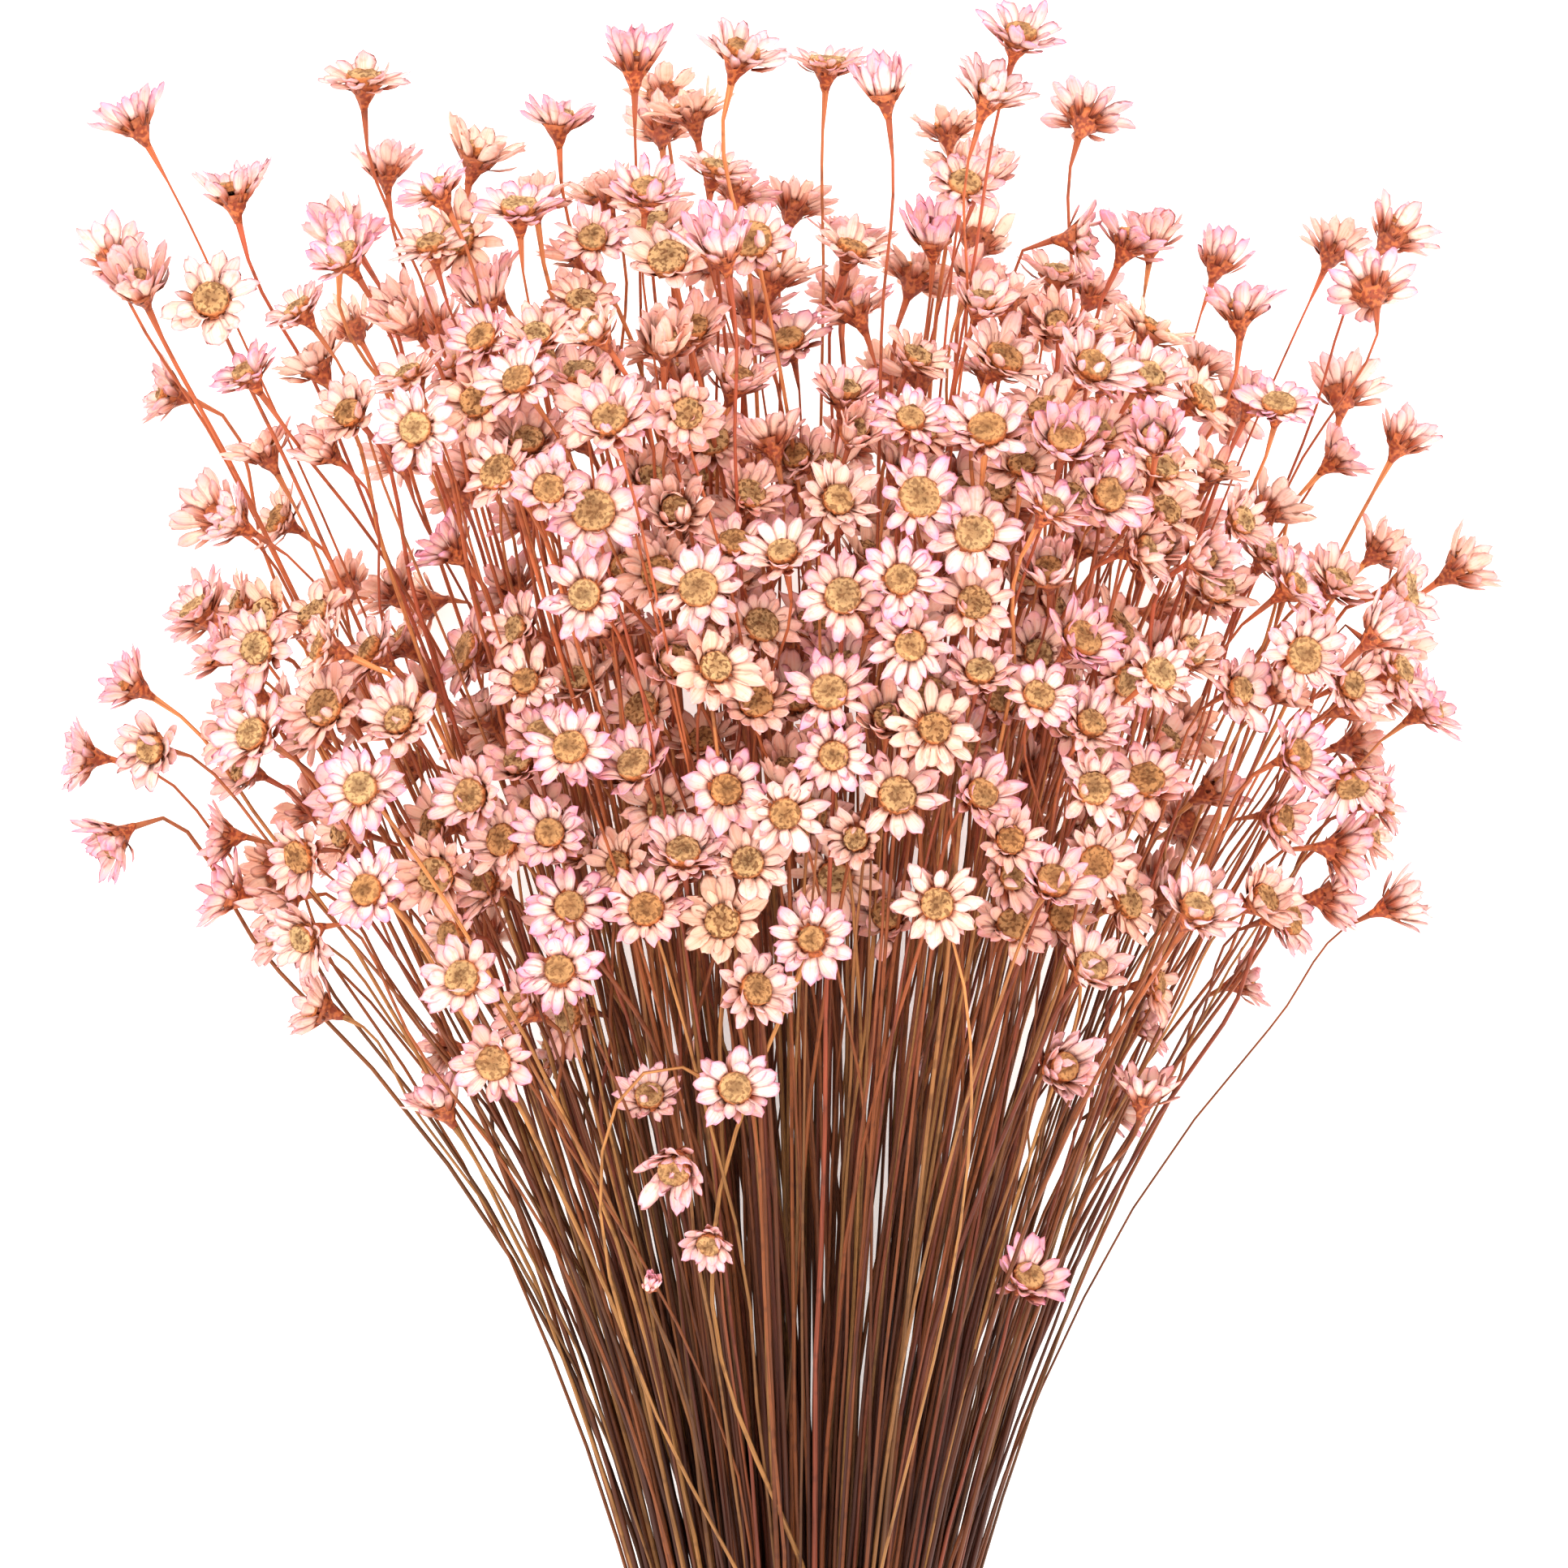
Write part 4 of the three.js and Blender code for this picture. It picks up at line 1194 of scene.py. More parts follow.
class StemDresser:
    """Thin stems from their cut ends through the tie and up the fountain to their heads."""

    sides = 5
    below = (-58.0, -30.0, -8.0, 8.0, 19.0)
    law_points = 11
    neck_points = 6
    cut_spread = 4.5
    wander = 0.05
    ripple = 0.5
    sway = 0.9
    bow = 6.0
    bowed = 0.09
    arch_ring = 8
    arched_tint = (0.9, 0.15)

    def __init__(self, sprigs: list[Sprig], draws: np.random.Generator) -> None:
        """Keeps the sprigs and the row's draws."""
        self.sprigs = sprigs
        self.draws = draws

    def law(self, share: Array) -> Array:
        """Points of every stem at shares of its length.

        The place in the waist moves from root to goal as a power of the share, with the wave
        of the rule, a bow to one side and a fine ripple that all fade out at the ends.

        Args:
            share: Shares from 0 to 1, one row.

        Returns:
            Points for each stem and share.
        """
        root = gather(self.sprigs, "root")
        goal = gather(self.sprigs, "goal")
        late = gather(self.sprigs, "late")
        wave = gather(self.sprigs, "wave")
        k = share[None, :] ** late[:, None]
        bulge = np.sin(math.pi * share)[None, :]
        u = root[:, :1] + (goal[:, :1] - root[:, :1]) * k + wave[:, :1] * bulge
        v = root[:, 1:] + (goal[:, 1:2] - root[:, 1:]) * k + wave[:, 1:] * bulge
        level = STRAND_TOP + (goal[:, 2:] - STRAND_TOP) * share[None, :]
        points = fountain(u, v, level)
        shake = sum(
            np.sin(2 * math.pi * (cycles * share[None, :, None] + self.phases[:, None, cycles - 2]))
            / cycles
            for cycles in (2, 3, 4)
        )
        points[..., [0, 2]] += self.ripple * (bulge * self.kinks)[..., None] * shake
        points[..., [0, 2]] += bulge[..., None] * self.bows[:, None]
        return points

    def paths(self) -> Array:
        """The whole path of each stem: straight through the tie, up the fountain, and a neck.

        The neck is a cubic curve that leaves along the stem and comes in along the way that
        its head faces.
        """
        count = len(self.sprigs)
        self.phases = self.draws.random((count, 3, 2))
        self.kinks = 0.6 + 2.2 * self.draws.random((count, 1)) ** 4
        wide = self.draws.random((count, 1)) < self.bowed
        self.bows = self.draws.normal(0, np.where(wide, self.bow, self.sway), (count, 2)) * [1, 0.4]
        root = gather(self.sprigs, "root")
        levels = np.tile(np.array(self.below), (count, 1))
        levels[:, 0] += self.draws.random(count) * self.cut_spread
        stray = self.draws.normal(0, self.wander, (count, 1, 2))
        spread = smooth((-10 - levels) / 44)[..., None] * stray
        low = fountain(
            root[:, None, 0] + spread[..., 0], root[:, None, 1] + spread[..., 1],
            np.maximum(levels, 0),
        )
        low[..., 1] += np.minimum(levels, 0)
        share = np.linspace(0, 0.88, self.law_points)
        rise = self.law(share)
        ahead = rise[:, -1] - self.law(np.array([0.87]))[:, 0]
        ahead /= np.linalg.norm(ahead, axis=-1, keepdims=True)
        face = gather(self.sprigs, "face")
        foot = np.array([one.path[-1] for one in self.sprigs]) + 0.4 * face
        start = rise[:, -1]
        span = 0.4 * np.linalg.norm(foot - start, axis=-1, keepdims=True)
        t = np.linspace(0, 1, self.neck_points + 1)[1:][None, :, None]
        one, two = (start + ahead * span)[:, None], (foot - face * span)[:, None]
        start, foot = start[:, None], foot[:, None]
        neck = (
            (1 - t) ** 3 * start + 3 * t * (1 - t) ** 2 * one
            + 3 * t * t * (1 - t) * two + t**3 * foot
        )
        paths = np.concatenate([low, rise, neck], 1)
        for path, sprig in zip(paths, self.sprigs):
            if sprig.arch:
                path[self.arch_ring :] = self.arched(path, *sprig.arch)
        return paths

    def arched(self, path: Array, low: Vec, high: Vec) -> Array:
        """A curve of fourth degree to a head's foot, which swings out half way and near the head."""
        start, foot = path[self.arch_ring], path[-1]
        ahead = start - path[self.arch_ring - 1]
        ahead *= 0.25 * np.linalg.norm(foot - start) / np.linalg.norm(ahead)
        guides = np.array([start, start + ahead, (start + foot) / 2 + low, foot + high, foot])
        t = np.linspace(0, 1, len(path) - self.arch_ring)[:, None]
        power = np.arange(5)
        weights = np.array([1, 4, 6, 4, 1]) * t**power * (1 - t) ** power[::-1]
        return weights @ guides

    def stems(self) -> list[Shape]:
        """The stems as tubes that thin towards the neck and flare where the calyx starts."""
        paths = self.paths()
        count, rings = paths.shape[:2]
        along = np.linspace(0, 1, rings)[None, :]
        size = gather(self.sprigs, "size")[:, None]
        thick = 0.44 * self.draws.normal(1, 0.2, (count, 1)).clip(0.65, 1.35)
        radii = thick * (1 - 0.36 * smooth(1.3 * along)) * np.minimum(1, 0.7 + 0.3 * size)
        radii[:, -1] = CALYX_FOOT * 0.8 * size[:, 0]
        kind = self.draws.random(count)
        tint = np.stack(
            [kind, self.draws.random(count), self.draws.random(count), np.ones(count)], -1
        )
        tint[[one.arch is not None for one in self.sprigs], :2] = self.arched_tint
        return [sweep(paths, radii, self.sides, tint)]


@dataclass
class TwineTie:
    """The tie: two-ply twine wound side by side round the waist, its ends tucked under."""

    turns: int = 7
    rings_a_turn: int = 150
    sides: int = 12
    thread: float = 0.95
    winding: float = 12.98
    ply_pitch: float = 3.6

    def twine(self, draws: np.random.Generator) -> list[Shape]:
        """The winding.

        The path is a screw round the waist's middle, and both ends dip under the turn beside
        them. Its section has two lobes that turn once in two pitches of the ply, and the flow
        turns with them, so that the fibres' streaks follow the twist.

        Args:
            draws: The seeded draws for the winding's small unevenness.

        Returns:
            The twine, as a list of one shape.
        """
        rings = self.turns * self.rings_a_turn
        share = np.linspace(0, 1, rings)
        angle = 2 * math.pi * self.turns * share + 1.1
        phase = draws.random(3) * 2 * math.pi
        uneven = sum(np.sin((0.37 + 0.23 * i) * angle + phase[i]) for i in range(3)) / 3
        tuck = smooth((np.abs(share - 0.5) - 0.47) / 0.03)
        radius = self.winding - 0.05 + 0.05 * uneven - 2.1 * tuck
        y = (share - 0.5) * 2 * (TIE_HALF_WIDTH - self.thread) + 0.12 * uneven
        y -= 1.9 * tuck * np.sign(share - 0.5)
        path = np.stack(
            [radius * np.cos(angle), y, TIE_RADIUS + radius * np.sin(angle)], -1
        )[None]
        along = 2 * math.pi * self.turns * self.winding * share
        ring = 2 * math.pi * np.arange(self.sides) / self.sides
        twist = 2 * math.pi * along[:, None] / self.ply_pitch / 2
        lobes = (0.72 + 0.28 * np.abs(np.cos(ring[None] - twist)))[None]
        radii = np.full((1, rings), self.thread)
        made = sweep(path, radii, self.sides, np.array([[0.5, 0.5, 0.5, 1.0]]), lobes)
        across, up = np.cos(ring[None] - twist), np.sin(ring[None] - twist)
        made.flow[: rings * self.sides, :2] = np.stack([across, up], -1).reshape(-1, 2)
        return [made]


def linear(red: int, green: int, blue: int) -> tuple[float, float, float, float]:
    """A screen colour from 0 to 255 as the light that a shader wants."""
    values = [channel / 255 for channel in (red, green, blue)]
    light = [v / 12.92 if v <= 0.04045 else ((v + 0.055) / 1.055) ** 2.4 for v in values]
    return (light[0], light[1], light[2], 1.0)


class Graph:
    """A node tree with short calls that add nodes and join them."""

    def __init__(self, tree: bpy.types.NodeTree) -> None:
        """Works on one tree."""
        self.tree = tree

    def feed(self, socket: Socket, value: object) -> None:
        """Links a socket to another, or sets its value or its colour of three screen values."""
        if isinstance(value, bpy.types.NodeSocket):
            self.tree.links.new(value, socket)
        elif isinstance(value, tuple) and len(value) == 3:
            socket.default_value = linear(*value)
        else:
            socket.default_value = value

    def math(self, operation: str, *values: object) -> Socket:
        """A Math node on one to three values."""
        node = self.tree.nodes.new("ShaderNodeMath")
        node.operation = operation
        for socket, value in zip(node.inputs, values):
            self.feed(socket, value)
        return node.outputs[0]

    def times(self, a: object, b: object) -> Socket:
        """The product of two values."""
        return self.math("MULTIPLY", a, b)

    def step(self, value: object, low: float, high: float) -> Socket:
        """A smooth step of a value from low to high."""
        node = self.tree.nodes.new("ShaderNodeMapRange")
        node.interpolation_type = "SMOOTHSTEP"
        self.feed(node.inputs["Value"], value)
        node.inputs["From Min"].default_value = low
        node.inputs["From Max"].default_value = high
        return node.outputs["Result"]

    def mix(self, factor: object, a: object, b: object, blend: str = "MIX") -> Socket:
        """A blend of two colours."""
        node = self.tree.nodes.new("ShaderNodeMix")
        node.data_type = "RGBA"
        node.blend_type = blend
        self.feed(node.inputs["Factor"], factor)
        self.feed(node.inputs["A"], a)
        self.feed(node.inputs["B"], b)
        return node.outputs["Result"]

    def noise(self, vector: object, scale: object, detail: float = 3.0) -> Socket:
        """The value of a noise texture."""
        node = self.tree.nodes.new("ShaderNodeTexNoise")
        self.feed(node.inputs["Vector"], vector)
        self.feed(node.inputs["Scale"], scale)
        node.inputs["Detail"].default_value = detail
        return node.outputs["Fac"]

    def cells(self, vector: object, scale: float) -> Socket:
        """The distance to the nearest of scattered points."""
        node = self.tree.nodes.new("ShaderNodeTexVoronoi")
        self.feed(node.inputs["Vector"], vector)
        node.inputs["Scale"].default_value = scale
        return node.outputs["Distance"]

    def scaled(self, vector: object, x: object, y: object, z: object) -> Socket:
        """A vector with each of its parts multiplied."""
        factors = self.tree.nodes.new("ShaderNodeCombineXYZ")
        for socket, value in zip(factors.inputs, (x, y, z)):
            self.feed(socket, value)
        node = self.tree.nodes.new("ShaderNodeVectorMath")
        node.operation = "MULTIPLY"
        self.feed(node.inputs[0], vector)
        self.feed(node.inputs[1], factors.outputs[0])
        return node.outputs[0]

    def group(self, tree: bpy.types.NodeTree, **values: object) -> bpy.types.Node:
        """A placed group with its inputs set by name, an underscore for each space."""
        node = self.tree.nodes.new("ShaderNodeGroup")
        node.node_tree = tree
        for name, value in values.items():
            self.feed(node.inputs[name.replace("_", " ")], value)
        return node

    def named(self, kind: str, name: str) -> Socket:
        """A named attribute's vector or colour."""
        node = self.tree.nodes.new("ShaderNodeAttribute")
        node.attribute_name = name
        return node.outputs[kind]

    def parts(self, value: object, kind: str = "XYZ") -> list[Socket]:
        """The three parts of a vector or a colour."""
        node = self.tree.nodes.new("ShaderNodeSeparate" + kind)
        self.feed(node.inputs[0], value)
        return list(node.outputs)[:3]

    def place(self) -> Socket:
        """The place on the object."""
        return self.tree.nodes.new("ShaderNodeTexCoord").outputs["Object"]


class Effects:
    """The shader groups that several finishes share."""

    def __init__(self) -> None:
        """Builds the groups once."""
        self.fibres = self.fibre_group()
        self.weather = self.weather_group()

    @staticmethod
    def start(name: str, inputs: dict[str, str], outputs: dict[str, str]) -> bpy.types.NodeTree:
        """An empty group with named sockets."""
        tree = bpy.data.node_groups.new(name, "ShaderNodeTree")
        for way, sockets in (("INPUT", inputs), ("OUTPUT", outputs)):
            for socket, kind in sockets.items():
                tree.interface.new_socket(socket, in_out=way, socket_type="NodeSocket" + kind)
        return tree

    def fibre_group(self) -> bpy.types.NodeTree:
        """Fine streaks: noise that is stretched along the surface's own length."""
        tree = self.start(
            "Fibre streaks", {"Flow": "Vector", "Across": "Float", "Along": "Float"},
            {"Streaks": "Float"},
        )
        graph = Graph(tree)
        source = tree.nodes.new("NodeGroupInput")
        across, along = source.outputs["Across"], source.outputs["Along"]
        vector = graph.scaled(source.outputs["Flow"], across, along, along)
        sink = tree.nodes.new("NodeGroupOutput")
        graph.feed(sink.inputs["Streaks"], graph.noise(vector, 1.0, 0.0))
        return tree

    def weather_group(self) -> bpy.types.NodeTree:
        """Dry blemishes: a colour drifts in brightness and takes on brown where noise is high."""
        tree = self.start(
            "Dry weathering",
            {"Colour": "Color", "Place": "Vector", "Size": "Float", "Drift": "Float",
             "Blemish": "Color", "Amount": "Float"},
            {"Colour": "Color"},
        )
        graph = Graph(tree)
        source = tree.nodes.new("NodeGroupInput").outputs
        broad = graph.noise(source["Place"], source["Size"], 0.0)
        fine = graph.noise(source["Place"], graph.times(source["Size"], 4.3), 1.0)
        shade = graph.math("MULTIPLY_ADD", graph.math("SUBTRACT", broad, 0.5), source["Drift"], 1.0)
        rgb = tree.nodes.new("ShaderNodeCombineColor")
        for socket in list(rgb.inputs)[:3]:
            graph.feed(socket, shade)
        drifted = graph.mix(1.0, source["Colour"], rgb.outputs[0], "MULTIPLY")
        mask = graph.times(graph.step(fine, 0.56, 0.7), source["Amount"])
        sink = tree.nodes.new("NodeGroupOutput")
        graph.feed(sink.inputs["Colour"], graph.mix(mask, drifted, source["Blemish"]))
        return tree


@dataclass(frozen=True)
class Finish:
    """What every finish has: roughness, bump, gloss, and the blemishes of dry weathering."""

    name: str
    roughness: float
    bump: float = 0.3
    relief: float = 0.0
    gloss: float = 0.5
    patch: float = 100.0
    drift: float = 0.0
    stain: Tone = (0, 0, 0)
    stained: float = 0.0

    def paint(
        self, graph: Graph, shader: bpy.types.Node, effects: Effects
    ) -> tuple[object, Socket | None]:
        """The colour before weathering, and the height of the bump if the finish has one."""
        raise NotImplementedError

    def build(self, effects: Effects) -> bpy.types.Material:
        """Builds the material: the finish's own paint, weathered, with its bump in metres."""
        material = bpy.data.materials.new(self.name)
        material.use_nodes = True
        graph = Graph(material.node_tree)
        shader = material.node_tree.nodes["Principled BSDF"]
        shader.inputs["Roughness"].default_value = self.roughness
        shader.inputs["Specular IOR Level"].default_value = self.gloss
        colour, height = self.paint(graph, shader, effects)
        weather = graph.group(
            effects.weather, Colour=colour, Place=graph.place(), Size=self.patch,
            Drift=self.drift, Blemish=self.stain, Amount=self.stained,
        )
        graph.feed(shader.inputs["Base Color"], weather.outputs["Colour"])
        if height is not None:
            node = graph.tree.nodes.new("ShaderNodeBump")
            node.inputs["Strength"].default_value = self.bump
            node.inputs["Distance"].default_value = self.relief
            graph.feed(node.inputs["Height"], height)
            graph.feed(shader.inputs["Normal"], node.outputs[0])
        return material


@dataclass(frozen=True)
class PetalPaper(Finish):
    """Dry papery bracts: cream at the foot, pink towards the tip, peach with age and painted depth
    shade.
    """

    relief: float = 0.0002
    gloss: float = 0.35
    patch: float = 260.0
    drift: float = 0.35
    stain: Tone = (196, 118, 76)
    stained: float = 0.25
    cream: Tone = (249, 219, 209)
    pink: Tone = (237, 154, 188)
    peach: Tone = (246, 170, 134)
    aged_and_shaded: Tone = (252, 200, 160)
    rust: Tone = (158, 72, 42)

    def paint(
        self, graph: Graph, shader: bpy.types.Node, effects: Effects
    ) -> tuple[object, Socket | None]:
        """Pink by the reach and the edge, aged and in painted depth shade, peach at the foot, rust
        on the small bracts.
        """
        flow = graph.named("Vector", "flow")
        across, along, _ = graph.parts(flow)
        tint = graph.named("Color", "tint")
        pink, chance, age = graph.parts(tint, "Color")
        small = tint.node.outputs["Alpha"]
        edge = graph.times(graph.math("POWER", graph.math("ABSOLUTE", across), 3.0), 0.35)
        reach = graph.math("ADD", graph.step(along, 0.3, 1.05), edge)
        colour = graph.mix(graph.times(graph.times(reach, pink), 1.25), self.cream, self.pink)
        # This mix towards the pale peach is real ageing and, for heads that lie deep, painted shade.
        worn_and_shaded = graph.math("MULTIPLY_ADD", graph.math("SUBTRACT", chance, 0.5), 0.25, age)
        colour = graph.mix(worn_and_shaded, colour, self.aged_and_shaded)
        foot = graph.math("SUBTRACT", 1.0, graph.step(along, 0.02, 0.3))
        colour = graph.mix(graph.times(foot, 0.5), colour, self.peach)
        inner = graph.math("SUBTRACT", 1.0, graph.step(along, 0.25, 0.95))
        colour = graph.mix(graph.times(small, inner), colour, self.rust)
        streaks = graph.group(effects.fibres, Flow=flow, Across=7.0, Along=0.8).outputs["Streaks"]
        lines = graph.times(graph.step(streaks, 0.5, 0.68), 0.42)
        rough = graph.math("MULTIPLY_ADD", streaks, 0.25, self.roughness - 0.1)
        graph.feed(shader.inputs["Roughness"], rough)
        return graph.mix(lines, colour, self.peach), streaks


@dataclass(frozen=True)
class FloretDisc(Finish):
    """The disc's florets: golden tan with brown specks and an orange-brown rim."""

    relief: float = 0.0004
    gloss: float = 0.25
    patch: float = 500.0
    drift: float = 0.6
    stain: Tone = (98, 56, 26)
    stained: float = 0.5
    tan: Tone = (184, 132, 82)
    straw: Tone = (196, 160, 112)
    rim: Tone = (186, 98, 44)

    def paint(
        self, graph: Graph, shader: bpy.types.Node, effects: Effects
    ) -> tuple[object, Socket | None]:
        """Tan to straw, an orange rim, brown specks stronger with age and painted depth shade, and a
        brown core.
        """
        out = graph.parts(graph.named("Vector", "flow"))[2]
        _, chance, age = graph.parts(graph.named("Color", "tint"), "Color")
        place = graph.place()
        colour = graph.mix(chance, self.tan, self.straw)
        colour = graph.mix(graph.times(graph.step(out, 0.5, 0.85), 0.75), colour, self.rim)
        specks = graph.step(graph.noise(place, 1700.0, 0.0), 0.5, 0.62)
        # The specks grow stronger with the head's age, which also carries its painted shade by
        # depth.
        specks = graph.times(specks, graph.math("MULTIPLY_ADD", age, 0.6, 0.5))
        colour = graph.mix(specks, colour, self.stain)
        core = graph.times(graph.step(out, 0.3, 0.0), 0.5)
        return graph.mix(core, colour, self.stain), graph.cells(place, 1500.0)


@dataclass(frozen=True)
class CalyxScale(Finish):
    """The calyx: rust-brown overlapping scales with lighter orange edges."""

    relief: float = 0.0004
    patch: float = 420.0
    drift: float = 0.7
    stain: Tone = (88, 32, 16)
    stained: float = 0.6
    rust: Tone = (144, 60, 30)
    orange: Tone = (194, 104, 54)

    def paint(
        self, graph: Graph, shader: bpy.types.Node, effects: Effects
    ) -> tuple[object, Socket | None]:
        """Rust and orange by the scales, more orange at the top, darker with age and with painted
        depth shade.
        """
        down = graph.parts(graph.named("Vector", "flow"))[2]
        age = graph.parts(graph.named("Color", "tint"), "Color")[2]
        scales = graph.noise(graph.place(), 1500.0, 0.0)
        colour = graph.mix(graph.step(scales, 0.4, 0.65), self.rust, self.orange)
        colour = graph.mix(graph.times(graph.step(down, 0.4, 0.0), 0.55), colour, self.orange)
        # Darkening towards the stain by the tint's age: real ageing, and painted shade for heads
        # that lie deep.
        return graph.mix(graph.times(age, 0.6), colour, self.stain), scales


@dataclass(frozen=True)
class DryStem(Finish):
    """Dry stems: ridged brown, with some golden and some reddish ones."""

    relief: float = 0.0003
    gloss: float = 0.3
    patch: float = 90.0
    drift: float = 0.5
    stain: Tone = (54, 22, 12)
    stained: float = 0.35
    brown: Tone = (164, 92, 46)
    golden: Tone = (208, 148, 84)
    red: Tone = (156, 74, 48)
    pith: Tone = (206, 170, 122)
    crown_glow: Tone = (204, 98, 64)

    def paint(
        self, graph: Graph, shader: bpy.types.Node, effects: Effects
    ) -> tuple[object, Socket | None]:
        """Each stem's own colour, dark ridges, painted warm glow to the crown, painted shade low,
        pale where cut.
        """
        flow = graph.named("Vector", "flow")
        length = graph.parts(flow)[2]
        kind, chance, age = graph.parts(graph.named("Color", "tint"), "Color")
        streaks = graph.group(effects.fibres, Flow=flow, Across=3.2, Along=0.12).outputs["Streaks"]
        colour = graph.mix(graph.step(kind, 0.62, 0.84), self.brown, self.golden)
        colour = graph.mix(graph.step(kind, 0.18, 0.08), colour, self.red)
        shade = graph.times(graph.math("POWER", chance, 1.6), 0.7)
        colour = graph.mix(shade, colour, self.stain)
        ridges = graph.times(graph.step(streaks, 0.5, 0.68), 0.5)
        colour = graph.mix(ridges, colour, self.stain)
        # Painted light: towards the crown the stems take on a warm glow, as from light shining
        # through the petals.
        crown = graph.times(graph.step(length, 190.0, 340.0), 0.45)
        colour = graph.mix(crown, colour, self.crown_glow)
        # Painted shade: low down, where the stems pack tight, they are mixed towards the dark stain
        # colour, some stems more than others.
        low = graph.math("SUBTRACT", 1.0, graph.step(length, 130.0, 310.0))
        some = graph.math("MULTIPLY_ADD", graph.step(age, 0.2, 0.7), 0.44, 0.56)
        colour = graph.mix(graph.times(low, some), colour, self.stain)
        cut = graph.times(graph.step(length, 0.25, 0.05), 0.8)
        return graph.mix(cut, colour, self.pith), streaks


@dataclass(frozen=True)
class JuteTwine(Finish):
    """Natural twine: straw-brown fibres twisted in two plies."""

    relief: float = 0.0005
    patch: float = 130.0
    drift: float = 0.4
    stain: Tone = (110, 76, 42)
    stained: float = 0.25
    straw: Tone = (192, 156, 106)

    def paint(
        self, graph: Graph, shader: bpy.types.Node, effects: Effects
    ) -> tuple[object, Socket | None]:
        """Straw with darker fibres, and painted shade in the groove between the plies."""
        flow = graph.named("Vector", "flow")
        streaks = graph.group(effects.fibres, Flow=flow, Across=6.0, Along=0.35).outputs["Streaks"]
        fibres = graph.times(graph.step(streaks, 0.42, 0.66), 0.7)
        # Painted shade: the groove where the two plies meet is darkened.
        groove_shade = graph.step(graph.math("ABSOLUTE", graph.parts(flow)[0]), 0.5, 0.05)
        shader.inputs["Sheen Weight"].default_value = 0.3
        colour = graph.mix(fibres, self.straw, self.stain)
        return graph.mix(graph.times(groove_shade, 0.6), colour, self.stain), streaks


@dataclass(frozen=True)
class Backdrop(Finish):
    """The pale floor: near white with a faint drift, and lit softly from within."""

    patch: float = 3.0
    drift: float = 0.03
    stain: Tone = (0.9, 0.9, 0.9, 1.0)
    stained: float = 0.1
    white: Tone = (0.93, 0.925, 0.92, 1.0)
    light: Tone = (1.0, 0.97, 0.95, 1.0)
    glow: float = 0.45

    def paint(
        self, graph: Graph, shader: bpy.types.Node, effects: Effects
    ) -> tuple[object, Socket | None]:
        """A plain near white, and the glow."""
        shader.inputs["Emission Color"].default_value = self.light
        shader.inputs["Emission Strength"].default_value = self.glow
        return self.white, None

    def build(self, effects: Effects) -> bpy.types.Material:
        """Builds the material, whose glow isn't sampled as a lamp's is."""
        material = super().build(effects)
        material.cycles.emission_sampling = "NONE"
        return material


class Studio:
    """The pale floor, the soft lights and the camera that looks down on the bunch."""

    view_middle = (0.00106, 0.07606, 0.06)
    view_width = 0.2415
    lens = 150.0
    floor_half = 3.0
    air = (1.0, 0.92, 0.87, 1.0)
    air_strength = 1.88

    def floor(self, effects: Effects) -> bpy.types.Object:
        """The floor, as a plain sheet."""
        mesh = bpy.data.meshes.new("floor")
        half = self.floor_half
        corners = [(-half, -half, 0), (half, -half, 0), (half, half, 0), (-half, half, 0)]
        mesh.from_pydata(corners, [], [(0, 1, 2, 3)])
        mesh.materials.append(Backdrop("Pale floor", 0.9).build(effects))
        made = bpy.data.objects.new("floor", mesh)
        bpy.context.scene.collection.objects.link(made)
        return made

    def light(self, name: str, place: Vec, size: float, power: float) -> None:
        """One soft square light that points at the bunch."""
        lamp = bpy.data.lights.new(name, "AREA")
        lamp.shape, lamp.size, lamp.energy = "SQUARE", size, power
        made = bpy.data.objects.new(name, lamp)
        made.location = place
        way = made.location.copy()
        way -= type(way)(self.view_middle)
        made.rotation_euler = way.to_track_quat("Z", "Y").to_euler()
        bpy.context.scene.collection.objects.link(made)

    def lights(self) -> None:
        """A soft key from the upper left, a fill from the right, and pale air all round."""
        self.light("key", (-0.3, 0.4, 1.25), 0.6, 6.6)
        self.light("fill", (0.7, -0.2, 0.9), 0.8, 3.0)
        world = bpy.data.worlds.new("studio air")
        world.use_nodes = True
        air = world.node_tree.nodes["Background"]
        air.inputs["Color"].default_value = self.air
        air.inputs["Strength"].default_value = self.air_strength
        bpy.context.scene.world = world
        bpy.context.scene.view_settings.view_transform = "Standard"

    def camera(self) -> None:
        """The camera straight above, far enough off for its long lens to frame the view."""
        data = bpy.data.cameras.new("camera")
        data.lens = self.lens
        made = bpy.data.objects.new("camera", data)
        x, y, z = self.view_middle
        distance = self.view_width / 2 / (data.sensor_width / 2 / self.lens)
        made.location = (x, y, z + distance)
        bpy.context.scene.collection.objects.link(made)
        bpy.context.scene.camera = made


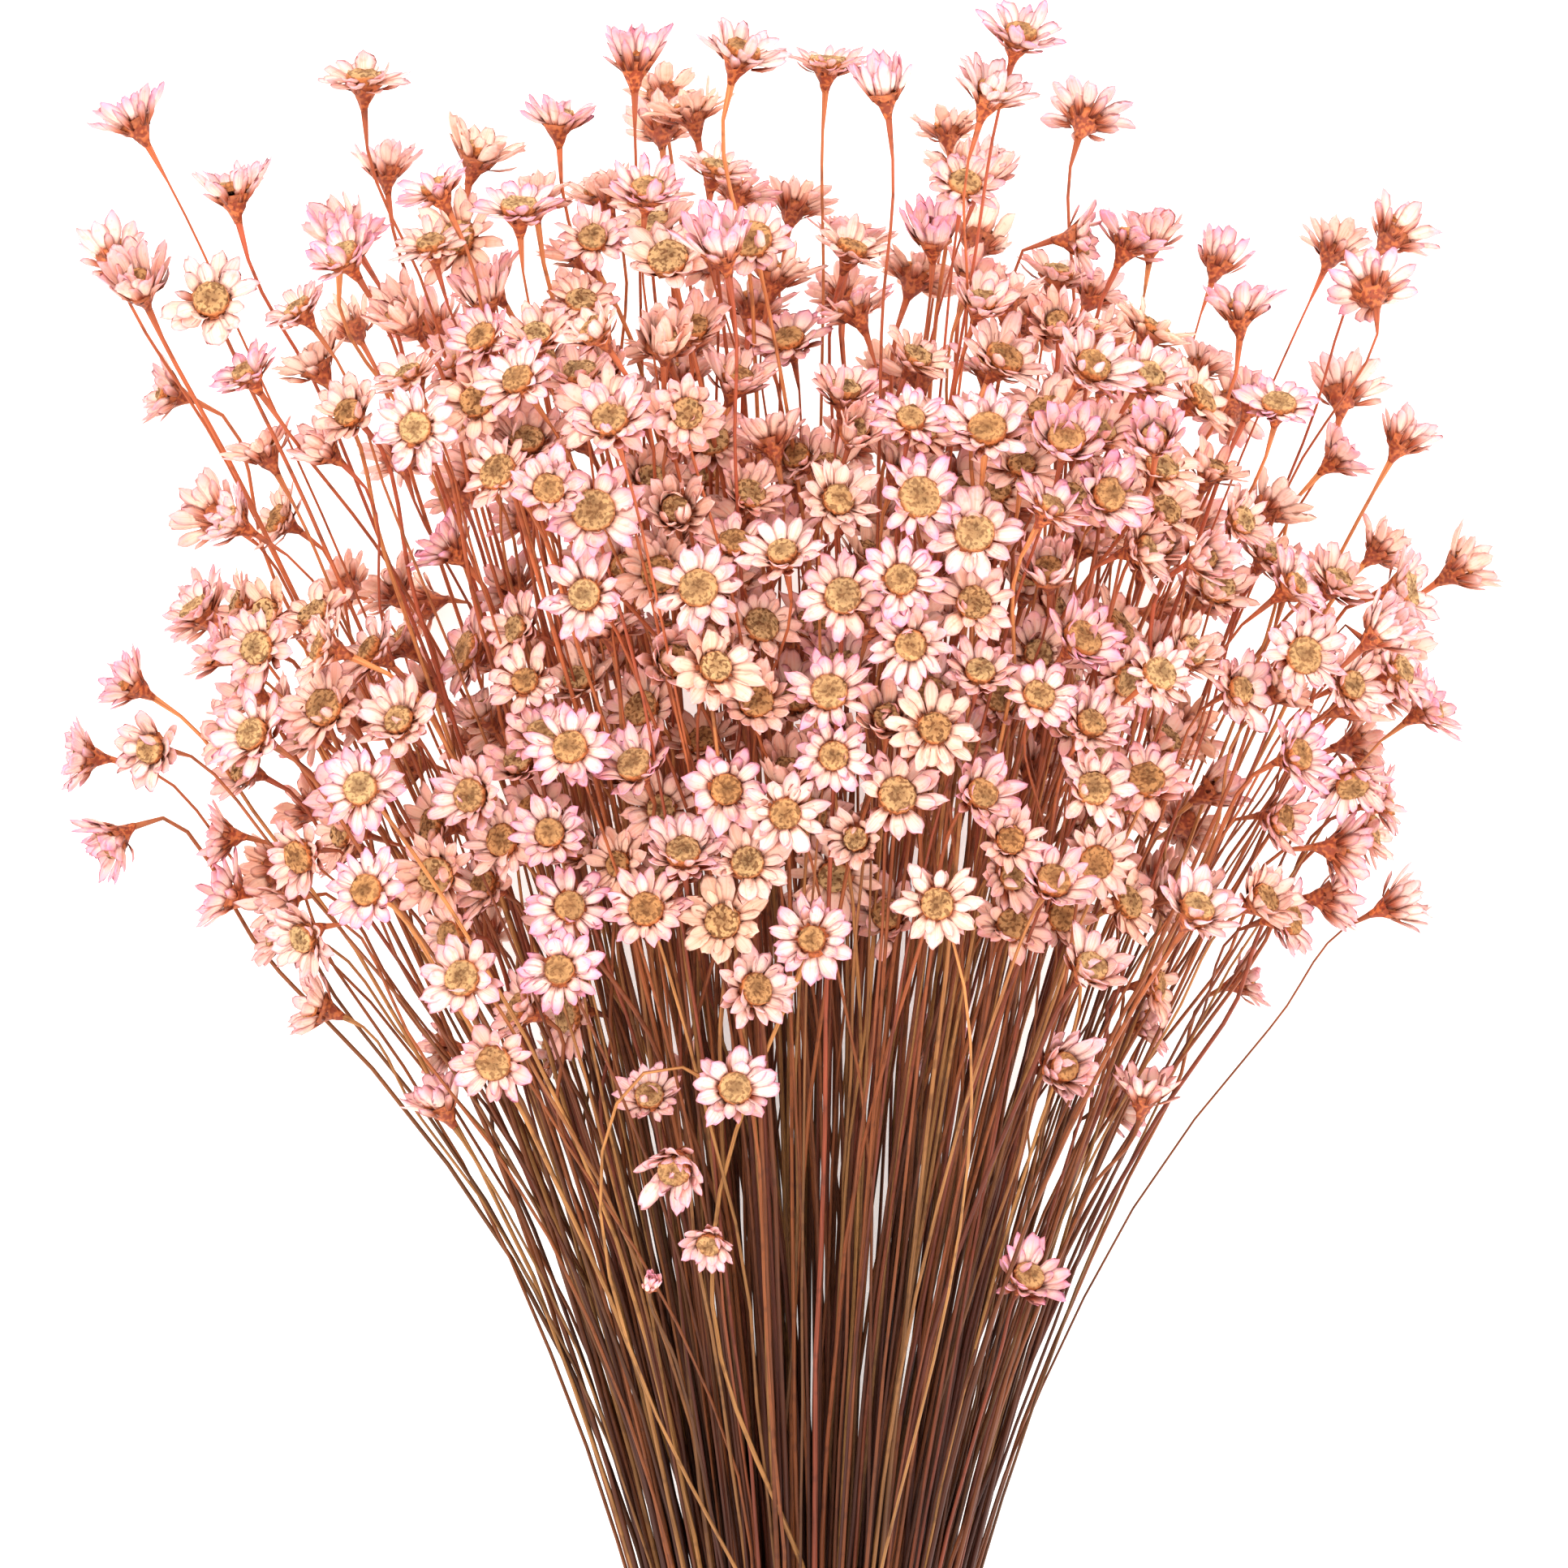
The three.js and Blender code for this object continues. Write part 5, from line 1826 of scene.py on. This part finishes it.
class Bunch:
    """The whole bunch: sprigs grouped by the row of their strand, and the tie."""

    def __init__(self, growth: Growth, effects: Effects) -> None:
        """Takes the grown sprigs and builds the finishes once."""
        self.growth = growth
        self.paper = PetalPaper("Petal paper", 0.5, 0.25).build(effects)
        self.florets = FloretDisc("Floret disc", 0.8, 0.6).build(effects)
        self.scales = CalyxScale("Calyx scales", 0.65, 0.5).build(effects)
        self.wood = DryStem("Dry stem", 0.55, 0.4).build(effects)
        self.jute = JuteTwine("Jute twine", 0.85, 0.6).build(effects)

    def rows(self) -> dict[int, list[int]]:
        """The strands by their row of the lattice, from the lowest up."""
        rows: dict[int, list[int]] = {}
        step = STRAND_PITCH * math.sqrt(3) / 2 / WAIST_RADIUS
        for index, (_, up) in enumerate(self.growth.strands):
            rows.setdefault(round(up / step) + 5, []).append(index)
        return rows

    def build(self) -> None:
        """Builds each row's stems, bracts, discs and calyces, and then the tie."""
        for row, strands in self.rows().items():
            draws = np.random.default_rng([SEED, row])
            sprigs = [one for one in self.growth.placed if one.spray in strands]
            nodes = [f"spray_{index + 1:02d}" for index in strands]
            heads, stems = HeadDresser(sprigs, draws), StemDresser(sprigs, draws)
            for name, material, slot, make in (
                ("stems", self.wood, "stem", stems.stems),
                ("bracts", self.paper, "petal", heads.petals),
                ("discs", self.florets, "disc", heads.disc),
                ("calyces", self.scales, "calyx", heads.calyx),
            ):
                Piece(f"{name}_{row}", material, slot, make()).build(nodes)
        twine = TwineTie().twine(np.random.default_rng([SEED, TWINE_SEED]))
        Piece("twine_tie", self.jute, "twine", twine).build(["tie"])


def main() -> None:
    """Grows the bunch, builds its pieces in order and sets the stage."""
    logging.basicConfig(level=logging.INFO, format="%(message)s")
    growth = Growth()
    growth.fill()
    growth.fill_gaps(GAP_HEADS)
    LOG.info("%d heads on %d strands", len(growth.placed), len(growth.strands))
    effects = Effects()
    Bunch(growth, effects).build()
    studio = Studio()
    studio.floor(effects)
    studio.lights()
    studio.camera()


if __name__ == "__main__":
    main()
